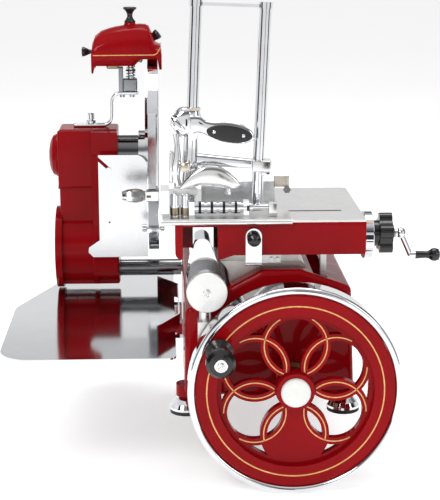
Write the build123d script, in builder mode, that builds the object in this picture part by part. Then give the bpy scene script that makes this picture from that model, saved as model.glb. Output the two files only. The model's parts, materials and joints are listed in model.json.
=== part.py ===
from build123d import *
import os
from math import cos, radians, sin

# Hand-cranked flywheel slicer, in millimetres.
# Origin: centre of the four feet, on the plane they stand on.
# +X to the operator's right, +Y away from the operator, +Z up.

# ---------------------------------------------------------------- driving dimensions
wheel_x = 36.0  # flywheel axis, parallel to Y
wheel_z = 64.0
wheel_front_y = -266.0
wheel_radius = 153.0
ring_radius = 142.3  # painted ring, just inside the polished rim
web_radius = 112.0
window_radius = 105.0
hub_radius = 28.0
petal_distance = 66.0  # centres of the six interlaced circles
petal_radius = 44.5
petal_bar = 5.0  # half width of each circle's bar
grip_radius = 125.0  # crank grip's distance from the axis
grip_angle = 150.0

foot_x = 117.0
foot_y = 160.0
base_front_y = -190.0
base_rear_y = 200.0
base_bottom_z = 34.0
base_wall = 6.0

blade_radius = 150.0
blade_y = 160.0
blade_z = 333.0
blade_x = -172.0  # left face of the dished blade
blade_dish = 15.0
drive_z = 140.0  # height of the layshaft and of the cross shaft
idler_z = (wheel_z + drive_z) / 2
running_gap = 0.05  # radial clearance of every running fit

spur_teeth = 20
spur_radius = 19.0
bevel_teeth = 24
bevel_radius = 18.0
bevel_face = 7.0
pinion_radius = 38.0 / 3  # cross shaft pinion, driving the countershaft at half its speed
pinion_teeth = 12
chain_wheel_radius = 25.0  # countershaft chain wheel, twice the blade's
chain_wheel_teeth = 20

rod_x = -88.0  # carriage guide rod, parallel to Y
rod_z = 200.0
rod_radius = 20.0
rocker_y = -57.0  # pivot of the rocker arm that drives the carriage
rocker_z = 48.0
rocker_tilt = 40.2
rocker_low_pin = 30.0
crank_throw = 19.5

beam_left_x = -132.0
beam_right_x = 141.5
beam_front_y = -190.0
beam_rear_y = -110.0
beam_bottom_z = 239.5  # of its left end, round the guide rod
beam_underside_z = 245.5  # of the rest of the beam
table_z = 293.0
table_thickness = 3.0
table_rear_y = 50.0
screw_y = -150.0  # feed screw axis, parallel to X
screw_z = 267.0
feed_travel = 105.0
collar_width = 13.0  # of the collar between the beam and the thickness dial
slide_z = 296.3  # underside of the feed slide, just clear of the table

column_half_pitch = 49.1
column_radius = 8.5
column_height = 298.0
column_lean = 2.2  # degrees to the right

tray_z = 107.0
tray_thickness = 3.0


# ---------------------------------------------------------------- shared shapes
def front(y):
    """Plane facing the operator at depth y: its x is X and its y is Z."""
    return Plane.XZ.offset(-y)


def side(x):
    """Plane facing +X at x: its x is Y and its y is Z."""
    return Plane.YZ.offset(x)


def bar(start, end, radius, mode=Mode.ADD):
    """Round bar between two points."""
    run = Vector(*end) - Vector(*start)
    with Locations(Plane(origin=start, z_dir=run)):
        Cylinder(radius, run.length, align=(Align.CENTER, Align.CENTER, Align.MIN), mode=mode)


def block(low, high, mode=Mode.ADD):
    """Square-edged block between two opposite corners."""
    size = Vector(*high) - Vector(*low)
    with Locations(low):
        Box(size.X, size.Y, size.Z, align=(Align.MIN, Align.MIN, Align.MIN), mode=mode)


def plate(plane, outline, thickness, corner=0.0, mode=Mode.ADD):
    """Flat plate on a plane, with the corners of its outline rounded."""
    with BuildSketch(plane) as profile:
        with BuildLine():
            if corner:
                FilletPolyline(*outline, radius=corner, close=True)
            else:
                Polyline(*outline, close=True)
        make_face()
    extrude(profile.sketch, amount=thickness, mode=mode)


def arm(plane, discs, thickness, mode=Mode.ADD):
    """Flat arm wrapped round the discs given as (x, y, radius)."""
    with BuildSketch(plane) as profile:
        for x, y, radius in discs:
            with Locations((x, y)):
                Circle(radius)
        make_hull()
    extrude(profile.sketch, amount=thickness, mode=mode)


def turned(start, along, profile, mode=Mode.ADD, smooth=False):
    """Body turned about the line from start: the profile lists (distance, radius)."""
    direction = Vector(*along).normalized()
    across = Vector(0, 1, 0) if abs(direction.Z) > 0.5 else Vector(0, 0, 1)
    plane = Plane(origin=start, x_dir=direction, z_dir=direction.cross(across))
    first = (profile[0][0], 0)
    last = (profile[-1][0], 0)
    with BuildSketch(plane) as outline:
        with BuildLine():
            if smooth:
                Spline(*profile)
                Polyline(profile[-1], last, first, profile[0])
            else:
                Polyline(first, *profile, last, close=True)
        make_face()
    revolve(outline.sketch, axis=Axis(start, direction), mode=mode)


def toothed_outline(teeth, radius, addendum, dedendum, phase=0.0, scale=1.0):
    """Corner points of a gear with straight-sided teeth, one centred on the phase angle."""
    pitch = 360 / teeth
    corners = []
    for tooth in range(teeth):
        centre = phase + tooth * pitch
        for share, height in ((-0.34, -dedendum), (-0.12, addendum), (0.12, addendum), (0.34, -dedendum)):
            angle = radians(centre + share * pitch)
            reach = (radius + height) * scale
            corners.append((reach * cos(angle), reach * sin(angle)))
    return corners


def spur_gear(plane, centre, teeth, radius, phase, width):
    """Spur gear on a plane, around a centre."""
    with BuildSketch(plane) as outline:
        with Locations(centre):
            Polygon(*toothed_outline(teeth, radius, 1.5, 1.9, phase))
    extrude(outline.sketch, amount=width)


def bevel_gear(wide_plane, narrow_plane, centre, phase):
    """Bevel gear lofted between its wide and its narrow end, both similar outlines."""
    with BuildSketch(wide_plane) as wide:
        with Locations(centre):
            Polygon(*toothed_outline(bevel_teeth, bevel_radius, 1.0, 1.4, phase))
    narrow_scale = (bevel_radius - bevel_face) / bevel_radius
    with BuildSketch(narrow_plane) as narrow:
        with Locations(centre):
            Polygon(*toothed_outline(bevel_teeth, bevel_radius, 1.0, 1.4, phase, narrow_scale))
    loft([wide.sketch.face(), narrow.sketch.face()], ruled=True)


def sprocket(x, centre, teeth, radius):
    """Chain wheel facing +X at x."""
    with BuildSketch(side(x)) as outline:
        with Locations(centre):
            Polygon(*toothed_outline(teeth, radius - 3, 3, 0))
    extrude(outline.sketch, amount=4)


# ---------------------------------------------------------------- flywheel
wheel_centre = (wheel_x, wheel_z)
spoke_angles = [30 + 60 * step for step in range(6)]
petal_centres = [
    (
        wheel_x + petal_distance * cos(radians(angle)),
        wheel_z + petal_distance * sin(radians(angle)),
    )
    for angle in spoke_angles
]
grip_x = wheel_x + grip_radius * cos(radians(grip_angle))
grip_z = wheel_z + grip_radius * sin(radians(grip_angle))

with BuildPart() as flywheel:
    turned(
        (wheel_x, wheel_front_y, wheel_z),
        (0, 1, 0),
        [(0, ring_radius - 2), (2, ring_radius), (32, ring_radius), (34, ring_radius - 2)],
    )
    bar((wheel_x, wheel_front_y, wheel_z), (wheel_x, wheel_front_y + 9, wheel_z), web_radius, Mode.SUBTRACT)
    bar(
        (wheel_x, wheel_front_y + 21, wheel_z),
        (wheel_x, wheel_front_y + 34, wheel_z),
        web_radius,
        Mode.SUBTRACT,
    )
    with BuildSketch(front(wheel_front_y + 22)) as windows:
        with Locations(wheel_centre):
            Circle(window_radius)
        for centre in petal_centres:
            with BuildSketch(mode=Mode.PRIVATE) as petal:
                with Locations(centre):
                    Circle(petal_radius + petal_bar)
                    Circle(petal_radius - petal_bar, mode=Mode.SUBTRACT)
            add(petal.sketch, mode=Mode.SUBTRACT)
        with BuildSketch(mode=Mode.PRIVATE) as solid_petal:
            with Locations(petal_centres[4]):
                Circle(petal_radius - petal_bar)
            with Locations(petal_centres[3], petal_centres[5]):
                Circle(petal_radius - petal_bar, mode=Mode.SUBTRACT)
        add(solid_petal.sketch, mode=Mode.SUBTRACT)
        with Locations(wheel_centre):
            Circle(hub_radius, mode=Mode.SUBTRACT)
    extrude(windows.sketch, amount=16, mode=Mode.SUBTRACT)
    bar((wheel_x, wheel_front_y, wheel_z), (wheel_x, wheel_front_y + 34, wheel_z), hub_radius - 1)
    bar((wheel_x, wheel_front_y, wheel_z), (wheel_x, wheel_front_y + 34, wheel_z), 12.05, Mode.SUBTRACT)
    bar((grip_x, wheel_front_y, grip_z), (grip_x, wheel_front_y + 34, grip_z), 6.05, Mode.SUBTRACT)

with BuildPart() as flywheel_rim:
    with BuildSketch(Plane(origin=(wheel_x, 0, wheel_z), x_dir=(0, 1, 0), z_dir=(-1, 0, 0))) as rim_section:
        with BuildLine():
            rim_low = ring_radius + 0.2
            rim_top = wheel_radius
            Polyline((-264, rim_low), (-232, rim_low), (-232, rim_top - 2))
            ThreePointArc((-232, rim_top - 2), (-232.6, rim_top - 0.6), (-234, rim_top))
            Line((-234, rim_top), (-263, rim_top))
            ThreePointArc((-263, rim_top), (-268.5, rim_top - 5.2), (-264, rim_low))
        make_face()
    revolve(rim_section.sketch, axis=Axis((wheel_x, 0, wheel_z), (0, 1, 0)))

with BuildPart() as flywheel_hub_cap:
    turned(
        (wheel_x, wheel_front_y, wheel_z),
        (0, -1, 0),
        [(0, 21), (4, 21), (6, 19.5), (7.5, 15), (8, 0.01)],
    )

with BuildPart() as main_shaft:
    bar((wheel_x, wheel_front_y + 4, wheel_z), (wheel_x, 115, wheel_z), 12)

with BuildPart() as main_gear:
    spur_gear(front(-142), wheel_centre, spur_teeth, spur_radius, 0, 16)
    bar((wheel_x, -158, wheel_z), (wheel_x, -142, wheel_z), 12.05, Mode.SUBTRACT)

with BuildPart() as grip_spindle:
    bar((grip_x, -324, grip_z), (grip_x, wheel_front_y + 34, grip_z), 6)
    bar((grip_x, -333, grip_z), (grip_x, -331.2, grip_z), 9)
    bar((grip_x, -332, grip_z), (grip_x, -324, grip_z), 4)

with BuildPart() as flywheel_grip:
    grip_profile = [(0, 18), (1.5, 19.6), (4.5, 19.6), (8, 14), (16, 11.5), (28, 13)]
    grip_profile += [(40, 18.5), (48, 21), (55, 20.4), (60, 16), (61, 11)]
    turned((grip_x, wheel_front_y - 4, grip_z), (0, -1, 0), grip_profile)
    bar((grip_x, -332, grip_z), (grip_x, -269, grip_z), 6.05, Mode.SUBTRACT)
    bar((grip_x, -332, grip_z), (grip_x, -330.8, grip_z), 9.3, Mode.SUBTRACT)

# ---------------------------------------------------------------- base
base_outline = [
    (-120, base_bottom_z),
    (-118, 166),
    (-64, 172),
    (-56, 196),
    (-8, 222),
    (50, 222),
    (122, 196),
    (129, base_bottom_z),
]
base_inner_outline = [
    (-113.8, base_bottom_z - 2),
    (-112, 160.5),
    (-60, 166),
    (-51, 191),
    (-6.5, 215.5),
    (48.5, 215.5),
    (116, 191),
    (122.8, base_bottom_z - 2),
]
slot_left_x = 67.0
slot_right_x = 88.0

with BuildPart() as base_casting:
    plate(front(base_rear_y), base_outline, base_rear_y - base_front_y, 9)
    fillet(base_casting.edges().filter_by(GeomType.LINE, reverse=True).group_by(Axis.Y)[0], 7)
    plate(
        front(base_rear_y - base_wall),
        base_inner_outline,
        base_rear_y - base_front_y - 2 * base_wall,
        0,
        Mode.SUBTRACT,
    )
    block((slot_left_x, -181, 150), (slot_right_x, 96, 240), Mode.SUBTRACT)
    for foot_side in (-1, 1):
        for foot_end in (-1, 1):
            bar(
                (foot_side * foot_x, foot_end * foot_y, 26),
                (foot_side * foot_x, foot_end * foot_y, 44),
                15,
            )
            bar(
                (foot_side * foot_x, foot_end * foot_y, 25),
                (foot_side * foot_x, foot_end * foot_y, 40),
                4.0,
                Mode.SUBTRACT,
            )
    bar((wheel_x, base_front_y - 1, wheel_z), (wheel_x, base_front_y + 8, wheel_z), 17.1, Mode.SUBTRACT)
    bar((-125, blade_y, drive_z), (-105, blade_y, drive_z), 9.5, Mode.SUBTRACT)
    rocker_boss_end = 98.0
    bar((rocker_boss_end, rocker_y, rocker_z), (124, rocker_y, rocker_z), 11)
    bar((69.5, rocker_y, rocker_z), (124, rocker_y, rocker_z), 6)

with BuildPart() as feet:
    for foot_side in (-1, 1):
        for foot_end in (-1, 1):
            turned(
                (foot_side * foot_x, foot_end * foot_y, 6),
                (0, 0, 1),
                [(0, 25), (3, 24.5), (9, 21), (14, 16), (18, 10), (20, 8)],
            )
            bar(
                (foot_side * foot_x, foot_end * foot_y, 5),
                (foot_side * foot_x, foot_end * foot_y, 27),
                4.0,
                Mode.SUBTRACT,
            )

with BuildPart() as foot_pads:
    for foot_side in (-1, 1):
        for foot_end in (-1, 1):
            bar((foot_side * foot_x, foot_end * foot_y, 0), (foot_side * foot_x, foot_end * foot_y, 6), 24)
            bar(
                (foot_side * foot_x, foot_end * foot_y, -1),
                (foot_side * foot_x, foot_end * foot_y, 7),
                4.0,
                Mode.SUBTRACT,
            )

with BuildPart() as top_cover:
    cover_front_y = -160.0
    cover_rear_y = 190.0
    cover_outline = [(-72, 160), (-72, 229.5), (58, 229.5), (58, 160)]
    plate(front(cover_rear_y), cover_outline, cover_rear_y - cover_front_y, 11)
    plate(
        front(cover_rear_y - 3),
        [(-69, 150), (-69, 226.5), (55, 226.5), (55, 150)],
        cover_rear_y - cover_front_y - 6,
        8,
        Mode.SUBTRACT,
    )
    plate(front(base_rear_y + 1), base_outline, base_rear_y - base_front_y + 2, 9, Mode.SUBTRACT)
    block((-80, -170, 150), (70, 200, 197), Mode.SUBTRACT)
    with BuildSketch(front(200)) as rod_clearance:
        with Locations((rod_x, rod_z)):
            Circle(36)
    extrude(rod_clearance.sketch, amount=400, mode=Mode.SUBTRACT)

with BuildPart() as bearing_plates:
    for plate_y in (-135, 100):
        plate(
            front(plate_y + 8),
            [(-4, 42), (60, 42), (60, 166), (12, 166), (-4, 150)],
            8,
            4,
        )
        for shaft_z, bore in ((wheel_z, 15.0), (drive_z, 11.0)):
            bar((wheel_x, plate_y - 1, shaft_z), (wheel_x, plate_y + 9, shaft_z), bore, Mode.SUBTRACT)
        block((-113.2, plate_y, 42), (-2, plate_y + 8, 54))
    bar((wheel_x, -160, idler_z), (wheel_x, -133, idler_z), 6)
    block((54.4, 145, 123), (56.6, base_rear_y - base_wall, 157))
    bar((54, blade_y, drive_z), (57, blade_y, drive_z), 9 + running_gap, Mode.SUBTRACT)

with BuildPart() as shaft_bushes:
    bar((wheel_x, -196, wheel_z), (wheel_x, -176, wheel_z), 17)
    bar((wheel_x, -196, wheel_z), (wheel_x, base_front_y, wheel_z), 22)
    bar((wheel_x, -200, wheel_z), (wheel_x, -170, wheel_z), 12 + running_gap, Mode.SUBTRACT)
    for plate_y in (-135, 100):
        for shaft_z, outer, inner in ((wheel_z, 14.95, 12), (drive_z, 10.95, 8)):
            bar((wheel_x, plate_y, shaft_z), (wheel_x, plate_y + 8, shaft_z), outer)
            bar(
                (wheel_x, plate_y - 1, shaft_z),
                (wheel_x, plate_y + 9, shaft_z),
                inner + running_gap,
                Mode.SUBTRACT,
            )

# ---------------------------------------------------------------- drive inside the base
with BuildPart() as idler_gear:
    spur_gear(front(-142), (wheel_x, idler_z), spur_teeth, spur_radius, 180 / spur_teeth, 16)
    bar((wheel_x, -160, idler_z), (wheel_x, -140, idler_z), 6 + running_gap, Mode.SUBTRACT)

with BuildPart() as layshaft:
    bar((wheel_x, -165, drive_z), (wheel_x, blade_y - bevel_radius + 3, drive_z), 8)
    spur_gear(front(-142), (wheel_x, drive_z), spur_teeth, spur_radius, 0, 16)
    bevel_gear(
        front(blade_y - bevel_radius),
        front(blade_y - bevel_radius + bevel_face),
        (wheel_x, drive_z),
        0,
    )

with BuildPart() as cross_shaft:
    bar((-264, blade_y, drive_z), (wheel_x - bevel_radius + 3, blade_y, drive_z), 8)
    bevel_gear(
        side(wheel_x - bevel_radius),
        side(wheel_x - bevel_radius + bevel_face),
        (blade_y, drive_z),
        180 / bevel_teeth,
    )
    spur_gear(side(-262), (blade_y, drive_z), pinion_teeth, pinion_radius, 90, 14)

crank_pin_angle = radians(196.3)
crank_pin_y = blade_y + crank_throw * cos(crank_pin_angle)
crank_pin_z = drive_z + crank_throw * sin(crank_pin_angle)
with BuildPart() as crank_shaft:
    bevel_gear(
        side(wheel_x + bevel_radius),
        side(wheel_x + bevel_radius - bevel_face),
        (blade_y, drive_z),
        180 / bevel_teeth,
    )
    bar((wheel_x + bevel_radius - 1, blade_y, drive_z), (58, blade_y, drive_z), 9)
    bar((57, blade_y, drive_z), (61, blade_y, drive_z), 26)
    bar((60, crank_pin_y, crank_pin_z), (62, crank_pin_y, crank_pin_z), 4)

low_pin_y = rocker_y - rocker_low_pin * sin(radians(rocker_tilt))
low_pin_z = rocker_z + rocker_low_pin * cos(radians(rocker_tilt))
with BuildPart() as connecting_rod:
    arm(side(62.5), [(low_pin_y, low_pin_z, 8), (crank_pin_y, crank_pin_z, 7)], 6)
    bar((62, low_pin_y, low_pin_z), (69, low_pin_y, low_pin_z), 4 + running_gap, Mode.SUBTRACT)
    bar((62, crank_pin_y, crank_pin_z), (69, crank_pin_y, crank_pin_z), 4.3, Mode.SUBTRACT)


def along_rocker(distance):
    """Point (y, z) on the rocker's centre line at a distance from its pivot."""
    tilt = radians(rocker_tilt)
    return rocker_y - distance * sin(tilt), rocker_z + distance * cos(tilt)


with BuildPart() as rocker_arm:
    top_y, top_z = along_rocker(169)
    slot_y, slot_z = along_rocker(128)
    arm(side(70), [(rocker_y, rocker_z, 13), (top_y, top_z, 9.5)], 6)
    arm(side(69), [(slot_y, slot_z, 5), (top_y, top_z, 5)], 8, Mode.SUBTRACT)
    bar((68.8, rocker_y, rocker_z), (97, rocker_y, rocker_z), 10)
    bar((68, rocker_y, rocker_z), (98, rocker_y, rocker_z), 6 + running_gap, Mode.SUBTRACT)
    bar((62.5, low_pin_y, low_pin_z), (71, low_pin_y, low_pin_z), 4)

# ---------------------------------------------------------------- carriage guide rod
with BuildPart() as guide_rod:
    bar((rod_x, -218, rod_z), (rod_x, 196, rod_z), rod_radius)
    bar((rod_x, -219, rod_z), (rod_x, -200, rod_z), 4, Mode.SUBTRACT)

with BuildPart() as guide_rod_mounts:
    turned((rod_x, -218, rod_z), (0, -1, 0), [(0, 28), (1, 29.2), (8, 29.2), (9, 28.4), (9.4, 0.01)])
    block((rod_x - 13, -224, 113), (rod_x + 9, base_front_y, 156))
    bar((rod_x - 2, -206, 155), (rod_x - 2, -206, rod_z), 9)
    block((rod_x - 11, base_rear_y, 120), (rod_x + 11, base_rear_y + 8, rod_z + 12))
    block((rod_x - 11, base_rear_y - 16, 176), (rod_x + 11, base_rear_y + 8, rod_z + 12))
    bar((rod_x, -218, rod_z), (rod_x, 196, rod_z), rod_radius, Mode.SUBTRACT)
    bar((rod_x, -230, rod_z), (rod_x, -217, rod_z), 4, Mode.SUBTRACT)

# ---------------------------------------------------------------- blade drive and casing
drum_z = 178.0
drum_radius = 60.0
rim_of_drum = 68.0
casing_left_x = -318.0
casing_right_x = -222.0
casing_front_y = 128.0
casing_rear_y = 192.0
casing_top_z = 379.5
casing_wall = 6.0

with BuildPart() as shaft_tubes:
    bar((casing_right_x, blade_y, drive_z), (-120, blade_y, drive_z), 13.5)
    bar((-230, blade_y, drive_z), (-110, blade_y, drive_z), 8 + running_gap, Mode.SUBTRACT)
    bar((casing_right_x, blade_y, blade_z), (blade_x - 7, blade_y, blade_z), 32)
    bar((-230, blade_y, blade_z), (-170, blade_y, blade_z), 9 + running_gap, Mode.SUBTRACT)

with BuildPart() as blade_casing:
    plate(
        front(casing_rear_y),
        [
            (casing_left_x, 120),
            (casing_left_x, casing_top_z),
            (casing_right_x, casing_top_z),
            (casing_right_x, 120),
        ],
        casing_rear_y - casing_front_y,
        4,
    )
    fillet(blade_casing.edges().group_by(Axis.Y)[0], 2.5)
    block((-264, casing_front_y - 18, 341), (casing_right_x, casing_front_y + 6, casing_top_z - 2))
    block((casing_left_x - 2, casing_front_y - 2, 282), (casing_right_x + 1, casing_front_y + 4, 288))
    bar((casing_left_x, blade_y, drum_z), (casing_right_x, blade_y, drum_z), drum_radius)
    bar((casing_left_x - 8, blade_y, drum_z), (casing_left_x + 3, blade_y, drum_z), rim_of_drum)
    bar((-264, blade_y, drum_z), (-256, blade_y, drum_z), drum_radius + 4)
    bar(
        (casing_left_x + casing_wall, blade_y, drum_z),
        (casing_right_x - casing_wall, blade_y, drum_z),
        drum_radius - casing_wall,
        Mode.SUBTRACT,
    )
    block(
        (casing_left_x + casing_wall, casing_front_y + casing_wall, drum_z - 40),
        (casing_right_x - casing_wall, casing_rear_y - casing_wall, casing_top_z - casing_wall),
        Mode.SUBTRACT,
    )
    bar((casing_right_x - 10, blade_y, drive_z), (casing_right_x + 2, blade_y, drive_z), 9.5, Mode.SUBTRACT)
    bar((casing_right_x - 10, blade_y, blade_z), (casing_right_x + 2, blade_y, blade_z), 10.5, Mode.SUBTRACT)
    bearing_left_x = casing_left_x + 2.5
    bar((bearing_left_x, blade_y, blade_z), (-305, blade_y, blade_z), 9 + running_gap, Mode.SUBTRACT)
    bar(
        (bearing_left_x, blade_y, drum_z),
        (casing_right_x - 2.5, blade_y, drum_z),
        7 + running_gap,
        Mode.SUBTRACT,
    )

with BuildPart() as casing_hub_cover:
    turned(
        (casing_left_x - 2, blade_y, blade_z),
        (-1, 0, 0),
        [(0, 35), (3, 35), (9, 32), (13, 24), (15.5, 12), (16, 0.01)],
    )

countershaft_centre = (blade_y, drum_z)
blade_centre = (blade_y, blade_z)
small_wheel_radius = chain_wheel_radius / 2
with BuildPart() as countershaft:
    bar((casing_left_x + 3, blade_y, drum_z), (casing_right_x - 3, blade_y, drum_z), 7)
    mesh_phase = 90 - 90 / pinion_teeth
    spur_gear(side(-261), countershaft_centre, 2 * pinion_teeth, 2 * pinion_radius, mesh_phase, 12)
    sprocket(-300, countershaft_centre, chain_wheel_teeth, chain_wheel_radius)

with BuildPart() as drive_chain:
    chain_ends = [(blade_y, drum_z, chain_wheel_radius), (blade_y, blade_z, small_wheel_radius)]
    arm(side(-302), [(y, z, radius + 4.5) for y, z, radius in chain_ends], 8)
    arm(side(-303), [(y, z, radius + 0.6) for y, z, radius in chain_ends], 10, Mode.SUBTRACT)

with BuildPart() as blade:
    turned(
        (blade_x, blade_y, blade_z),
        (1, 0, 0),
        [
            (0, 126),
            (blade_dish - 2.4, blade_radius),
            (blade_dish, blade_radius),
            (blade_dish - 2, blade_radius - 12),
            (4, 108),
        ],
    )
    bar((blade_x - 1, blade_y, blade_z), (blade_x + 5, blade_y, blade_z), 9.05, Mode.SUBTRACT)

with BuildPart() as blade_shaft:
    bar((casing_left_x + 3, blade_y, blade_z), (blade_x + 4, blade_y, blade_z), 9)
    bar((blade_x - 6.5, blade_y, blade_z), (blade_x, blade_y, blade_z), 26)
    turned((blade_x + 4, blade_y, blade_z), (1, 0, 0), [(0, 26), (2, 26), (6, 19), (7, 10), (7.2, 0.01)])
    sprocket(-300, blade_centre, chain_wheel_teeth // 2, small_wheel_radius)

guard_inner = 152.5
guard_outer = 158.0


def around_blade(angle, radius):
    """Point (y, z) at an angle around the blade's axis; 180 faces the operator."""
    return blade_y + radius * cos(radians(angle)), blade_z + radius * sin(radians(angle))


guard_left_x = blade_x - 0.5
guard_right_x = blade_x + blade_dish + 1
with BuildPart() as blade_guard:
    with BuildSketch(side(guard_left_x)) as guard_ring:
        with Locations(blade_centre):
            Circle(guard_outer)
            Circle(guard_inner, mode=Mode.SUBTRACT)
        Polygon(
            blade_centre,
            around_blade(147, 240),
            around_blade(170, 240),
            around_blade(191, 240),
            mode=Mode.SUBTRACT,
        )
    extrude(guard_ring.sketch, amount=guard_right_x - guard_left_x)
    with BuildSketch(side(guard_left_x - 5.5)) as guard_spider:
        with Locations(blade_centre):
            Circle(guard_outer)
        with BuildSketch(mode=Mode.PRIVATE) as spider_arms:
            with Locations(blade_centre):
                Circle(44)
            for angle in (-52, 52):
                Polygon(
                    around_blade(angle - 60, 40),
                    around_blade(angle - 3.5, guard_outer + 2),
                    around_blade(angle + 3.5, guard_outer + 2),
                    around_blade(angle + 60, 40),
                )
        add(spider_arms.sketch, mode=Mode.INTERSECT)
        with Locations(blade_centre):
            Circle(30, mode=Mode.SUBTRACT)
    extrude(guard_spider.sketch, amount=5.5)
    bar((guard_left_x - 16, blade_y, blade_z), (guard_left_x - 5.5, blade_y, blade_z), 40)
    bar((guard_left_x - 17, blade_y, blade_z), (blade_x - 7, blade_y, blade_z), 32, Mode.SUBTRACT)
    bar((blade_x - 8, blade_y, blade_z), (blade_x, blade_y, blade_z), 30, Mode.SUBTRACT)
    lug_y, lug_z = around_blade(193.5, 155.5)
    block((-176, lug_y - 9, lug_z - 10), (guard_right_x, lug_y + 3, lug_z + 4))
    bar((-190, lug_y, lug_z - 3), (-150, lug_y, lug_z - 3), 3 + running_gap, Mode.SUBTRACT)

with BuildPart() as deflector_knob:
    turned(
        (-176.3, lug_y, lug_z - 3),
        (-1, 0, 0),
        [(0, 7), (0.6, 7.6), (3.6, 7.6), (4, 5), (8, 6), (20, 10.5), (26, 11), (30, 9.5), (33, 6.5)],
    )
    bar((-178, lug_y, lug_z - 3), (-155, lug_y, lug_z - 3), 3)

# ---------------------------------------------------------------- deflector and tray
deflector_y = 90.0
with BuildPart() as deflector_plate:
    with BuildSketch(front(deflector_y)) as deflector_outline:
        with BuildLine():
            Polyline((-190, 344), (-252.5, 344), (-252.5, 204), (-270, 192), (-271, 184), (-263, 176))
            Polyline((-263, 176), (-174, 176), (-174, 322))
            ThreePointArc((-174, 322), (-178, 336), (-190, 344))
        make_face()
        with BuildSketch(mode=Mode.PRIVATE) as notch:
            with Locations((-236, 322), (-262, 346)):
                Circle(2.6)
            make_hull()
        add(notch.sketch, mode=Mode.SUBTRACT)
        with Locations((-236, 234)):
            Circle(1.6, mode=Mode.SUBTRACT)
    extrude(deflector_outline.sketch, amount=2)
    for stand_z in (314, 298):
        bar((-232, deflector_y, stand_z), (-232, casing_front_y, stand_z), 5)
    bar((-236, deflector_y - 5, 320), (-236, deflector_y - 2, 320), 4.5)

with BuildPart() as receiving_tray:
    tray_outline = [(-132, -236), (-132, 266), (-300, 266), (-386, 34), (-386, -236)]
    with BuildSketch(Plane.XY.offset(tray_z - tray_thickness)) as tray_shape:
        with BuildLine():
            FilletPolyline(*tray_outline, radius=(14, 10, 30, 30, 48), close=True)
        make_face()
    extrude(tray_shape.sketch, amount=tray_thickness)

with BuildPart() as tray_supports:
    guide_strip = [(-158, 132), (-125, 84), (-125, -90), (-158, -156)]
    guide_strip += [(-160, -155), (-127, -89.5), (-127, 83.5), (-160, 131)]
    plate(Plane.XY.offset(tray_z), guide_strip, 24)
    tray_underside = tray_z - tray_thickness
    for support_y in (-120, 60):
        block((-330, support_y - 9, tray_underside - 4), (-120.4, support_y + 9, tray_underside))
        block((-133, support_y - 9, tray_z - 34), (-120.4, support_y + 9, tray_underside - 3))

# ---------------------------------------------------------------- sharpener
sharpener_x = -200.0
with BuildPart() as sharpener_arm:
    plate(
        front(blade_y + 8),
        [
            (-294, casing_top_z),
            (-239, casing_top_z),
            (-229, 388),
            (-229, 424),
            (-220, 432),
            (-188, 432),
            (-188, 438),
            (-223, 438),
            (-235, 427),
            (-235, 391),
            (-242, casing_top_z + 6),
            (-294, casing_top_z + 6),
        ],
        16,
        1.2,
    )
    block((-211, blade_y - 10, 438), (-190, blade_y + 10, 458))
    block((-219, blade_y - 7, 438), (-211, blade_y + 7, 478))
    bar((sharpener_x, blade_y, 436), (sharpener_x, blade_y, 460), 5 + running_gap, Mode.SUBTRACT)

with BuildPart() as sharpener_shaft:
    bar((sharpener_x, blade_y, 446), (sharpener_x, blade_y, 549.5), 5)
    block((-258, blade_y - 8, 485), (sharpener_x + 6, blade_y + 8, 492))
    bar((-210, blade_y, 502), (-190, blade_y, 502), 3.5 + running_gap, Mode.SUBTRACT)

with BuildPart() as sharpener_spring:
    spring_bottom = 458.6
    with BuildLine() as spring_line:
        Helix(4.6, 24.0, 7.0, center=(sharpener_x, blade_y, spring_bottom + 0.7))
    with BuildSketch(Plane(origin=spring_line.line @ 0, z_dir=spring_line.line % 0)) as wire:
        Circle(0.7)
    sweep(wire.sketch, path=spring_line.line)

hood_outline = [
    (-262, 468),
    (-262, 496),
    (-258, 524),
    (-246, 536),
    (-215, 545),
    (-186, 548),
    (-170, 544),
    (-160, 520),
    (-151, 517),
    (-149, 474),
    (-153, 474),
    (-156, 495),
    (-181, 495),
    (-190, 481),
    (-254, 480),
    (-258, 468),
]
hood_front_y = 118.0
hood_rear_y = 202.0
hood_end_view = [
    (hood_front_y, 460),
    (hood_front_y, 516),
    (132, 538),
    (150, 549),
    (170, 549),
    (188, 538),
    (hood_rear_y, 516),
    (hood_rear_y, 460),
]
with BuildPart() as sharpener_hood:
    plate(front(hood_rear_y), hood_outline, hood_rear_y - hood_front_y, 0.8)
    plate(side(-270), hood_end_view, 130, 0, Mode.INTERSECT)
    plate(
        front(hood_rear_y - 5),
        [(-258, 460), (-258, 496), (-254, 513), (-157, 513), (-153, 508), (-153, 460)],
        hood_rear_y - hood_front_y - 10,
        0,
        Mode.SUBTRACT,
    )
    plate(
        front(178),
        [(-253, 512), (-252, 520), (-243, 529), (-214, 538), (-188, 541), (-174, 537), (-167, 512)],
        36,
        0,
        Mode.SUBTRACT,
    )
    bar((-270, blade_y, 502), (-250, blade_y, 502), 3.5 + running_gap, Mode.SUBTRACT)
    bar((sharpener_x, blade_y, 530), (sharpener_x, blade_y, 550), 5, Mode.SUBTRACT)

with BuildPart() as hood_knobs:
    turned(
        (sharpener_x, blade_y, 548.4),
        (0, 0, 1),
        [(1.2, 8), (3, 7.5), (6, 5), (9, 7), (11, 7), (14, 4.5)]
        + [(19, 4.5), (22, 8), (25, 11), (27, 10.5), (28, 6)],
    )
    turned((-168, blade_y, 524), (0.75, 0, 0.66), [(9.5, 4.5), (13, 5), (19, 8), (22, 7.5), (24, 4)])

with BuildPart() as sharpening_stone:
    bar((-262, blade_y, 502), (-187, blade_y, 502), 3.5)
    turned((-188, blade_y, 502), (1, 0, 0), [(0, 17), (6, 18), (8, 14)])

with BuildPart() as stone_knob:
    turned((-265.8, blade_y, 502), (-1, 0, 0), [(0, 4), (2, 4.5), (8, 7.5), (12, 8), (13, 6)])
    bar((-267, blade_y, 502), (-262, blade_y, 502), 3.5)

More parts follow.
